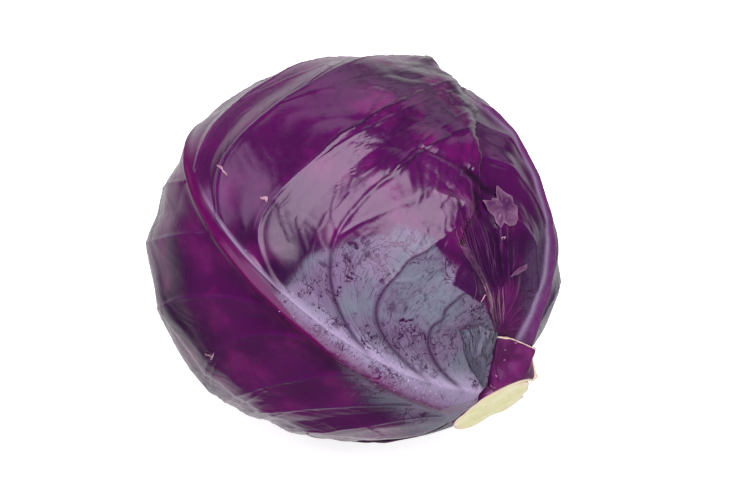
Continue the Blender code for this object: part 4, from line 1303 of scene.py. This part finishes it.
# Torn bases of older leaves: left and right edge from the stalk up as polar angle and azimuth, how far
# the top edge sags between them, thickness, how deep the tears in it are, and the pale share of its width
STUBS = {
    "stub_front": {
        "left": ((10.0, -30.0), (13.0, -24.0), (19.0, -12.0), (26.4, -5.0)),
        "right": ((10.0, 42.0), (12.4, 43.0), (14.7, 45.0), (17.2, 47.0)),
        "sag": 2.0,
        "thickness": 0.0024,
        "torn": 0.25,
        "pale": 0.0,
    },
    "stub_edge": {
        "left": ((10.0, 42.5), (12.4, 43.5), (14.7, 45.5), (17.4, 47.5)),
        "right": ((10.0, 55.0), (12.0, 55.0), (14.4, 56.0), (17.8, 58.0)),
        "sag": 0.0,
        "thickness": 0.0020,
        "torn": 0.3,
        "pale": 1.0,
    },
    "stub_flap": {
        "left": ((15.5, -32.0), (20.0, -31.0), (28.0, -28.5), (38.5, -24.0)),
        "right": ((15.5, -28.0), (18.0, -22.0), (22.0, -12.5), (27.0, -3.2)),
        "sag": -0.6,
        "thickness": 0.0009,
        "torn": 1.0,
        "pale": 0.0,
    },
    "stub_back": {
        "left": ((10.0, 112.0), (11.5, 114.0), (13.5, 116.0), (15.0, 119.0)),
        "right": ((10.0, 150.0), (11.5, 147.0), (13.5, 144.0), (15.0, 140.0)),
        "sag": -1.0,
        "thickness": 0.0012,
        "torn": 0.5,
        "pale": 0.0,
    },
}
STUB_ROWS = 57
STUB_COLUMNS = 97
# A stub leaves the rim of the cut at this polar angle, further out on the side that the stalk leans to,
# and comes down to the leaves over so many degrees
STUB_RIM = 11.6
STUB_RIM_ASIDE = 1.0
STUB_FALL = 5.5
# Depth of a stub's foot inside the cut, and how high its top stands off the leaves
STUB_FOOT = 0.0035
STUB_LIFT = 0.0005
STUB_RIBS = 0.00018
# Waves of a stub's sides and tears of its edge: degrees, turns over the stub, and start of the tears' waves
STUB_WANDER = ((0.9, 9.0), (0.5, 23.0))
STUB_TEARS = ((0.56, 9.0, 1.0), (0.32, 23.0, 0.0), (0.16, 61.0, 0.0))
# Share of a stub's width over which its sides thin out, and share of its thickness that they keep
STUB_SIDE = 0.16
STUB_THIN = 0.30
# A ray that looks for the outermost leaf starts this far out, and runs so far in
RAY_START = 0.12
RAY_REACH = 0.06
# Radius under which a ray has met no leaf of the outside
NO_LEAF = 0.05


def leaf_trees():
    """Search trees of the fine leaves, upright."""
    upright = LAID_DOWN.inverted()
    trees = []
    for name in ORDER:
        data = bpy.data.objects[name + "_fine"].data
        corners = [upright @ vertex.co for vertex in data.vertices]
        trees.append(BVHTree.FromPolygons(corners, [tuple(face.vertices) for face in data.polygons]))
    return trees


def outermost(points, trees):
    """Radius of whatever fine leaf lies outermost at each place, or 0 where there is none."""
    radii = []
    for point in points.tolist():
        away = Vector(point)
        found = [tree.ray_cast(away * RAY_START, -away, RAY_REACH)[3] for tree in trees]
        hits = [distance for distance in found if distance is not None]
        radii.append(RAY_START - min(hits) if hits else 0.0)
    return np.array(radii)


def softened(grid, times):
    """A grid's values averaged with their neighbours, so many times over."""
    for _ in range(times):
        padded = np.pad(grid, 1, mode="edge")
        near = padded[1:-1, :-2] + padded[1:-1, 2:] + padded[:-2, 1:-1] + padded[2:, 1:-1]
        grid = 0.5 * grid + near / 8.0
    return grid


def stub_piece(name, material, trees, left, right, sag, thickness, torn, pale):
    """Base of a cut leaf, from the rim of the cut down to the leaves, where it ends in a torn edge."""
    rows, columns = np.linspace(0.0, 1.0, STUB_ROWS), np.linspace(0.0, 1.0, STUB_COLUMNS)
    row, column = (grid.ravel() for grid in np.meshgrid(rows, columns, indexing="ij"))
    steps = np.linspace(0.0, 1.0, len(left))
    sides = []
    for edge in (left, right):
        polar, azimuth = np.array(edge).T
        sides.append((np.interp(row, steps, polar), np.interp(row, steps, azimuth)))
    polar = sides[0][0] + (sides[1][0] - sides[0][0]) * column
    azimuth = sides[0][1] + (sides[1][1] - sides[0][1]) * column
    wander = sum(degrees * np.sin(row * turns) for degrees, turns in STUB_WANDER)
    azimuth = azimuth + row * wander * torn
    tears = sum(np.sin(column * turns + start) * degrees for degrees, turns, start in STUB_TEARS)
    polar = polar - row**2 * (sag * 4.0 * column * (1.0 - column) + torn * tears)
    points = unit(polar, azimuth)
    shape = (len(rows), len(columns))
    below = outermost(points, trees).reshape(shape)
    limit = cut_limit(points).reshape(shape)
    tilted, across = polar.reshape(shape), column.reshape(shape)
    rim_polar = STUB_RIM + STUB_RIM_ASIDE * np.cos(np.radians(azimuth - STALK_ASIDE_AZIMUTH))
    turned = rim_polar.reshape(shape)
    below = np.where((tilted < turned) | (below < NO_LEAF), limit - STUB_FOOT, below)
    below = np.maximum(softened(below, 6), below)
    fall = smooth_step((tilted - turned) / STUB_FALL)
    side = np.minimum(across, 1.0 - across)
    row_grid = row.reshape(shape)
    sides_in = STUB_THIN + (1.0 - STUB_THIN) * np.sqrt(smooth_step(side / STUB_SIDE))
    swell = thickness * (1.0 - 0.40 * row_grid) * sides_in
    ribs = STUB_RIBS * np.sin(azimuth * 0.45 + 2.0 * np.sin(polar * 0.3)).reshape(shape)
    lift = STUB_LIFT * row_grid**3
    tab = below + swell + ribs + lift
    outer = np.minimum(softened(np.minimum(limit + (tab - limit) * fall, limit), 3), limit)
    inner = np.minimum(below + 0.0001 + lift, outer - 0.0004)
    outer, inner = outer.ravel(), inner.ravel()
    edge = smooth_step((row - 0.982) / 0.012)
    cut = 1.0 - smooth_step((polar - rim_polar + 0.15) / 0.25)
    side = smooth_step((column - 1.0 + pale) / 0.02) if pale else 0.0
    rim = np.maximum(np.maximum(edge, cut), side)
    values = {
        "rim": np.tile(rim, 2),
        "skin": np.tile(1.0 - rim, 2),
        "row": np.tile(row, 2),
        "across": np.tile(column, 2),
    }
    places = np.concatenate([outer[:, None] * points, inner[:, None] * points])
    piece = mesh_object(name, places, join_faces((STUB_ROWS, STUB_COLUMNS), 1), values)
    piece.data.materials.append(material)
    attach(piece, "root")
    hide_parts("stalk")


TREES = leaf_trees()
for name, shape in STUBS.items():
    stub_piece(name, FLAP_SKIN if name == "stub_flap" else STALK_SKIN, TREES, **shape)


# Torn scraps of leaf that lie on the others: corners as polar angle and azimuth, how far the rim lifts
SCRAPS = {
    "torn_scrap": (
        (
            (63.0, 8.4), (61.8, 11.0), (62.2, 12.6), (61.6, 14.2), (64.8, 16.6), (63.4, 17.8),
            (61.8, 18.4), (60.4, 19.6), (58.6, 19.2), (57.6, 20.0), (56.2, 18.4), (54.6, 17.8),
            (53.4, 15.6), (53.8, 13.0), (55.2, 12.0), (54.2, 9.6), (56.2, 8.8), (57.6, 9.6), (59.5, 8.4),
        ),
        0.0005,
    ),
    "torn_tongue": (
        ((41.0, 8.2), (41.7, 11.0), (42.0, 14.2), (42.2, 19.0), (41.0, 17.5), (40.6, 12.5)),
        0.0006,
    ),
}
SCRAP_RINGS = 22
SCRAP_COLUMNS = 120
# Height of a scrap's upper and lower face over the leaves, and of its folds
SCRAP_FACES = (0.0004, 0.0001)
SCRAP_ROOM = 0.0001
SCRAP_FOLDS = 0.0003


def scrap_material():
    """Thin torn skin, mauve and fibrous, paler at its rim."""
    skin = Shader("torn_skin", IOR=DRY)
    fibre = skin.noise(150.0, 4.0, 0.65, skin.stretched((0.5, 1.0, 2.2)), 0.4)
    broad = skin.noise(70.0, 2.0)
    colour = skin.mix(skin.band(fibre, 0.35, 0.65), SCRAP_VIOLET, SCRAP_MAUVE)
    colour = skin.mix(skin.band(broad, 0.35, 0.6, 0.7, 0.0), colour, SCRAP_SHADE)
    colour = skin.mix(skin.math("MULTIPLY", skin.attribute("rim"), 0.3), colour, SCRAP_RIM)
    return skin.finish(colour, skin.band(fibre, 0.3, 0.7, 0.32, 0.5), fibre, 0.0005, 0.8)


def scrap_piece(name, corners, lift, material):
    """A thin closed scrap that follows the leaves under it and curls up at its rim."""
    corner = np.array(corners)
    share = np.linspace(0.0, len(corner), SCRAP_COLUMNS, endpoint=False)
    closed = np.vstack([corner, corner[:1]])
    rim = np.stack([np.interp(share, np.arange(len(closed)), closed[:, axis]) for axis in (0, 1)], -1)
    middle = corner.mean(axis=0)
    reach = np.sin(np.linspace(0.04, 0.5, SCRAP_RINGS) * math.pi)
    places, edge = [], []
    for thickness, shares in zip(SCRAP_FACES, (reach, reach[::-1])):
        for part in shares:
            ring = middle + part * (rim - middle)
            points = unit(ring[:, 0], ring[:, 1])
            curl = lift * part**3 * (0.5 + 0.5 * np.sin(share * 2.1))
            folds = SCRAP_FOLDS * part * np.sin(share * 3.7 + 1.0)
            radius = outermost(points, TREES) + thickness + curl + folds * (1.0 - part) + SCRAP_ROOM
            places += (radius[:, None] * points).tolist()
            edge += [part**8] * SCRAP_COLUMNS
    faces = capped_faces(places, SCRAP_COLUMNS)
    piece = mesh_object(name, places, faces, {"rim": edge + [0.0, 0.0]})
    piece.data.materials.append(material)
    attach(piece, "root")
    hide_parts("wrapper_leaf_1")


SCRAP_SKIN = scrap_material()
for name, (corners, lift) in SCRAPS.items():
    scrap_piece(name, corners, lift, SCRAP_SKIN)


# Fibres and flecks, by Geometry Nodes

# Runs of fibres: corners, number of strands, spread in degrees at the start and at the end, radius, lift
FIBRES = (
    (
        ((57.1, -7.1), (50.2, -5.5), (44.9, -4.5), (38.8, -3.8), (30.9, -4.3), (27.0, -3.6)),
        24, 2.6, 0.4, 0.00011, 0.0,
    ),
    (((64.0, -2.0), (54.0, -4.0), (46.0, -4.2), (36.0, -3.6)), 12, 5.0, 0.9, 0.00008, 0.0),
    (((40.0, 2.0), (36.4, 0.8), (32.0, 0.6), (27.7, 0.2)), 10, 3.0, 2.6, 0.00010, 0.0),
    (((60.0, 4.0), (50.0, 3.0), (42.0, 1.0)), 5, 4.0, 2.0, 0.00008, 0.0),
    (((48.7, -7.9), (45.0, -10.6), (41.3, -13.0)), 1, 0.0, 0.0, 0.00012, 0.0005),
    (((40.1, -9.8), (40.9, -7.6), (40.3, -5.5)), 2, 0.4, 0.4, 0.00018, 0.0006),
    (((51.0, 8.6), (51.9, 9.2), (51.6, 10.2), (50.9, 9.9)), 1, 0.0, 0.0, 0.00020, 0.0007),
    (((86.0, -90.4), (86.6, -89.2), (85.2, -88.0), (83.6, -87.6)), 5, 1.4, 2.0, 0.00016, 0.0005),
    (((84.8, -90.2), (84.0, -88.8), (84.6, -87.0)), 4, 1.0, 2.2, 0.00014, 0.0005),
    (((52.6, -108.6), (53.4, -106.6), (52.4, -104.6)), 3, 1.0, 1.4, 0.00014, 0.0004),
    (((120.2, -47.2), (117.5, -46.2), (114.0, -46.4)), 2, 0.0, 0.0, 0.00020, 0.0),
    (((101.0, -42.6), (99.2, -41.8), (97.6, -41.6)), 7, 0.9, 0.4, 0.00020, 0.0002),
    (((98.2, -41.4), (96.0, -42.0), (92.4, -41.6)), 2, 0.1, 0.0, 0.00014, 0.0),
)
FIBRE_STEPS = 26
FIBRE_SEED = 21
FIBRE_POINTS = 200
# Fibres thicker than this are pale
PALE_FROM = 0.00012
PALE_SHARE = 0.7
# Flecks: their shape as shares of a ball, and the range of their sizes
FLECK_SHAPE = (1.0, 0.7, 0.35)
FLECK_SIZES = (0.5, 1.5)


def node_tree(name, sockets):
    """An empty tree that takes geometry and the named numbers, with its input and output nodes."""
    tree = bpy.data.node_groups.new(name, "GeometryNodeTree")
    tree.interface.new_socket("Geometry", in_out="INPUT", socket_type="NodeSocketGeometry")
    for socket, (kind, value) in sockets.items():
        tree.interface.new_socket(socket, in_out="INPUT", socket_type=kind).default_value = value
    tree.interface.new_socket("Geometry", in_out="OUTPUT", socket_type="NodeSocketGeometry")
    return tree, tree.nodes.new("NodeGroupInput"), tree.nodes.new("NodeGroupOutput")


def joined_node(tree, kind, inputs, **settings):
    """A new node of a tree with its inputs linked or set."""
    node = tree.nodes.new(kind)
    for key, value in settings.items():
        setattr(node, key, value)
    for socket, value in inputs.items():
        if isinstance(value, bpy.types.NodeSocket):
            tree.links.new(value, node.inputs[socket])
        else:
            node.inputs[socket].default_value = value
    return node


def grown(name, data, tree, numbers, node):
    """A plain piece grown by a tree from a carrier mesh."""
    carrier = bpy.data.objects.new(name + "_carrier", data)
    bpy.context.scene.collection.objects.link(carrier)
    modifier = carrier.modifiers.new("grow", "NODES")
    modifier.node_group = tree
    sockets = {item.name: item.identifier for item in tree.interface.items_tree if item.in_out == "INPUT"}
    for socket, value in numbers.items():
        modifier[sockets[socket]] = value
    evaluated = carrier.evaluated_get(bpy.context.evaluated_depsgraph_get())
    grown_data = bpy.data.meshes.new_from_object(evaluated)
    carrier.modifiers.remove(modifier)
    bpy.data.objects.remove(carrier)
    grown_data.name = name
    piece = bpy.data.objects.new(name, grown_data)
    bpy.context.scene.collection.objects.link(piece)
    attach(piece, "root")
    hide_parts(node)


def fibre_material():
    """Dry fibre, from mauve to tan."""
    skin = Shader("dry_fibre", IOR=DRY)
    tone = skin.noise(60.0, 2.0)
    colour = skin.mix(skin.band(tone, 0.42, 0.6), FIBRE_MAUVE, FIBRE_TAN)
    colour = skin.mix(skin.attribute("pale"), colour, FIBRE_PALE)
    return skin.finish(colour, 0.55, skin.noise(900.0), 0.0002, 0.5)


def finish_tree(tree, geometry, result, material):
    """Makes what a tree has grown real, smooth and painted."""
    real = joined_node(tree, "GeometryNodeRealizeInstances", {"Geometry": geometry})
    smooth = joined_node(tree, "GeometryNodeSetShadeSmooth", {"Geometry": real.outputs[0]})
    inputs = {"Geometry": smooth.outputs[0], "Material": material}
    painted = joined_node(tree, "GeometryNodeSetMaterial", inputs)
    tree.links.new(painted.outputs[0], result.inputs[0])


def scaled_attribute(tree, name, factor):
    """Output of a named attribute of the carrier, times a factor."""
    found = joined_node(tree, "GeometryNodeInputNamedAttribute", {"Name": name}, data_type="FLOAT")
    inputs = {0: found.outputs["Attribute"], 1: factor}
    return joined_node(tree, "ShaderNodeMath", inputs, operation="MULTIPLY").outputs[0]


def fibre_tree(material):
    """Tubes along the edges of the carrier, as thick as its points say."""
    sockets = {"Thickness": ("NodeSocketFloat", 1.0), "Sides": ("NodeSocketInt", 6)}
    tree, given, result = node_tree("fibre_tubes", sockets)
    curve = joined_node(tree, "GeometryNodeMeshToCurve", {"Mesh": given.outputs["Geometry"]})
    thick = scaled_attribute(tree, "size", given.outputs["Thickness"])
    inputs = {"Curve": curve.outputs["Curve"], "Radius": thick}
    sized = joined_node(tree, "GeometryNodeSetCurveRadius", inputs)
    inputs = {"Resolution": given.outputs["Sides"], "Radius": 1.0}
    profile = joined_node(tree, "GeometryNodeCurvePrimitiveCircle", inputs, mode="RADIUS")
    inputs = {"Curve": sized.outputs["Curve"], "Profile Curve": profile.outputs["Curve"], "Fill Caps": True}
    tubes = joined_node(tree, "GeometryNodeCurveToMesh", inputs)
    if "Scale" in tubes.inputs:
        tree.links.new(thick, tubes.inputs["Scale"])
    finish_tree(tree, tubes.outputs["Mesh"], result, material)
    return tree


def fibre_carrier():
    """Runs of fibre laid over whatever leaf lies outermost."""
    draw = np.random.default_rng(FIBRE_SEED)
    places, edges, sizes = [], [], []
    for corners, strands, wide, narrow, radius, lift in FIBRES:
        for _ in range(strands):
            start, end = draw.uniform(0.0, 0.25), draw.uniform(0.8, 1.0)
            line = run_on_head(corners, FIBRE_POINTS)
            if strands <= 2:
                start, end = 0.0, 1.0
            part = np.linspace(start, end, FIBRE_STEPS)
            polar, azimuth = polar_of(line[(part * (FIBRE_POINTS - 1)).astype(int)])
            aside = draw.uniform(-1.0, 1.0) * (wide + (narrow - wide) * part)
            wander = 0.25 * np.sin(part * draw.uniform(6.0, 14.0) + draw.uniform(0.0, 6.0))
            points = unit(polar, azimuth + aside + wander)
            height = outermost(points, TREES) + 0.4 * radius + lift * np.sin(part * math.pi)
            first = len(places)
            places += (height[:, None] * points).tolist()
            edges += [(first + step, first + step + 1) for step in range(FIBRE_STEPS - 1)]
            taper = np.sin(np.pi * np.linspace(0.06, 0.94, FIBRE_STEPS)) ** 0.5
            sizes += (radius * draw.uniform(0.6, 1.2) * taper).tolist()
    data = bpy.data.meshes.new("fibre_carrier")
    data.from_pydata(places, edges, [])
    data.transform(LAID_DOWN)
    sizes = np.array(sizes)
    for key, numbers in (("size", sizes), ("pale", np.where(sizes > PALE_FROM, PALE_SHARE, 0.0))):
        layer = data.attributes.new(key, "FLOAT", "POINT")
        layer.data.foreach_set("value", numbers.astype(np.float32))
    return data


def fleck_tree(material):
    """Flat grains strewn over the carrier where its fleck share is high."""
    sockets = {
        "Density": ("NodeSocketFloat", 1.0),
        "Size": ("NodeSocketFloat", 0.0002),
        "Seed": ("NodeSocketInt", 0),
    }
    tree, given, result = node_tree("strewn_flecks", sockets)
    density = scaled_attribute(tree, "fleck", given.outputs["Density"])
    inputs = {"Mesh": given.outputs["Geometry"], "Density": density, "Seed": given.outputs["Seed"]}
    strewn = joined_node(tree, "GeometryNodeDistributePointsOnFaces", inputs)
    inputs = {"Radius": given.outputs["Size"], "Subdivisions": 2}
    ball = joined_node(tree, "GeometryNodeMeshIcoSphere", inputs)
    inputs = {"Geometry": ball.outputs["Mesh"], "Scale": FLECK_SHAPE}
    grain = joined_node(tree, "GeometryNodeTransform", inputs)
    inputs = {2: FLECK_SIZES[0], 3: FLECK_SIZES[1], "Seed": given.outputs["Seed"]}
    scale = joined_node(tree, "FunctionNodeRandomValue", inputs, data_type="FLOAT")
    inputs = {
        "Points": strewn.outputs["Points"],
        "Instance": grain.outputs["Geometry"],
        "Rotation": strewn.outputs["Rotation"],
        "Scale": scale.outputs[1],
    }
    placed = joined_node(tree, "GeometryNodeInstanceOnPoints", inputs)
    finish_tree(tree, placed.outputs[0], result, material)
    return tree


def fleck_material():
    """Pale specks near the midrib: painted glints."""
    skin = Shader("glint_fleck", IOR=DRY)
    tone = skin.noise(700.0, 3.0)
    colour = skin.mix(skin.band(tone, 0.4, 0.6), FLECK_MAUVE, FLECK_GLINT)
    return skin.finish(colour, 0.5, tone, 0.0001, 0.5)


fibre_numbers = {"Thickness": 1.0, "Sides": 6}
fibre_data = fibre_carrier()
grown("dry_fibres", fibre_data, fibre_tree(fibre_material()), fibre_numbers, "wrapper_leaf_1")
# Pale flecks near the midrib, as painted glints
fleck_numbers = {"Density": 42000.0, "Size": 0.00017, "Seed": 9}
fleck_data = bpy.data.objects["wrapper_leaf_1_fine"].data.copy()
grown("skin_flecks", fleck_data, fleck_tree(fleck_material()), fleck_numbers, "wrapper_leaf_1")


# Floor, light and camera

LENS = 100.0
SENSOR = 36.0
CAMERA_DISTANCE = 0.758
VIEW_AZIMUTH = 45.2
VIEW_ELEVATION = 40.0
HEAD_LEFT_OF_MIDDLE = 0.00613
HEAD_BELOW_MIDDLE = 0.00093
WORLD_DARK = 0.10
WORLD_BRIGHT = 0.80
BACKDROP = 0.97
# Edges of the bright part of the surroundings, as the cosine from the way the camera looks
WORLD_EDGES = (0.42, 0.78)
LIGHT_DISTANCE = 0.8
SOFTBOX_COLOUR = (1.0, 0.84, 1.0)
# Name, degrees above the camera's axis, size and power
SOFTBOXES = (
    ("softbox", 25.0, (1.20, 0.62), 18.5),
    ("softbox_above", 100.0, (1.5, 0.35), 1.6),
)
SOFTBOX_TURN = 0.10
# Smaller box far to the left: direction as shares of right, up and towards the camera
SIDE_BOX = (-0.86, 0.46, 0.19)
SIDE_BOX_SIZE = (0.34, 0.40)
SIDE_BOX_POWER = 1.4
SIDE_BOX_COLOUR = (1.0, 0.62, 1.0)
FLOOR_HALF = 3.0
FLOOR_GLOW = 0.85
WHITE = (1.0, 1.0, 1.0, 1.0)
PAPER = (0.60, 0.60, 0.60, 1.0)


def view_axes():
    """Towards the camera, to its right and up, as unit vectors."""
    azimuth, elevation = math.radians(VIEW_AZIMUTH), math.radians(VIEW_ELEVATION)
    level = math.cos(elevation)
    towards = Vector((math.sin(azimuth) * level, -math.cos(azimuth) * level, math.sin(elevation)))
    right = Vector((math.cos(azimuth), math.sin(azimuth), 0.0))
    return towards, right, towards.cross(right)


towards, right, up = view_axes()
target = CENTRE + right * HEAD_LEFT_OF_MIDDLE + up * HEAD_BELOW_MIDDLE
camera_data = bpy.data.cameras.new("photo_camera")
camera_data.lens = LENS
camera_data.sensor_width = SENSOR
camera = bpy.data.objects.new("photo_camera", camera_data)
camera.location = target + towards * CAMERA_DISTANCE
camera.rotation_euler = Matrix((right, up, towards)).transposed().to_euler()
bpy.context.scene.collection.objects.link(camera)
bpy.context.scene.camera = camera


def area_light(name, direction, size, power, colour):
    """A rectangular lamp that faces the head from a direction."""
    data = bpy.data.lights.new(name, "AREA")
    data.shape = "RECTANGLE"
    data.size, data.size_y = size
    data.energy = power
    data.color = colour
    lamp = bpy.data.objects.new(name, data)
    lamp.location = CENTRE + direction.normalized() * LIGHT_DISTANCE
    lamp.rotation_euler = direction.to_track_quat("Z", "Y").to_euler()
    bpy.context.scene.collection.objects.link(lamp)
    return lamp


for lamp_name, rise, size, power in SOFTBOXES:
    overhead = towards * math.cos(math.radians(rise)) + up * math.sin(math.radians(rise))
    overhead = (overhead + right * SOFTBOX_TURN).normalized()
    softbox = area_light(lamp_name, overhead, size, power, SOFTBOX_COLOUR)
    across = (right - overhead * right.dot(overhead)).normalized()
    softbox.rotation_euler = Matrix((across, overhead.cross(across), overhead)).transposed().to_euler()

aside = right * SIDE_BOX[0] + up * SIDE_BOX[1] + towards * SIDE_BOX[2]
area_light("side_box", aside, SIDE_BOX_SIZE, SIDE_BOX_POWER, SIDE_BOX_COLOUR)

floor_mesh = bpy.data.meshes.new("floor")
floor_corners = [(x * FLOOR_HALF, y * FLOOR_HALF, 0.0) for x, y in ((-1, -1), (1, -1), (1, 1), (-1, 1))]
floor_mesh.from_pydata(floor_corners, [], [(0, 1, 2, 3)])
floor = bpy.data.objects.new("floor", floor_mesh)
bpy.context.scene.collection.objects.link(floor)
paper = Shader("floor_paper", Roughness=0.9)
paper.surface.inputs["Emission Color"].default_value = WHITE
paper.surface.inputs["Emission Strength"].default_value = FLOOR_GLOW
floor.data.materials.append(paper.finish(PAPER))
floor.visible_glossy = False

world = bpy.data.worlds.new("studio")
world.use_nodes = True
bpy.context.scene.world = world
tree = world.node_tree
behind = tree.nodes.new("ShaderNodeVectorMath")
behind.operation = "DOT_PRODUCT"
behind.inputs[1].default_value = -towards
tree.links.new(tree.nodes.new("ShaderNodeTexCoord").outputs["Generated"], behind.inputs[0])
glow = tree.nodes.new("ShaderNodeMapRange")
glow.interpolation_type = "SMOOTHSTEP"
tree.links.new(behind.outputs["Value"], glow.inputs["Value"])
for socket, value in enumerate((*WORLD_EDGES, WORLD_DARK, WORLD_BRIGHT), 1):
    glow.inputs[socket].default_value = value
backdrop = tree.nodes.new("ShaderNodeMix")
tree.links.new(tree.nodes.new("ShaderNodeLightPath").outputs["Is Camera Ray"], backdrop.inputs[0])
tree.links.new(glow.outputs[0], backdrop.inputs[2])
backdrop.inputs[3].default_value = BACKDROP
tree.links.new(backdrop.outputs[0], tree.nodes["Background"].inputs["Strength"])
tree.nodes["Background"].inputs["Color"].default_value = WHITE
bpy.context.scene.view_settings.view_transform = "Standard"
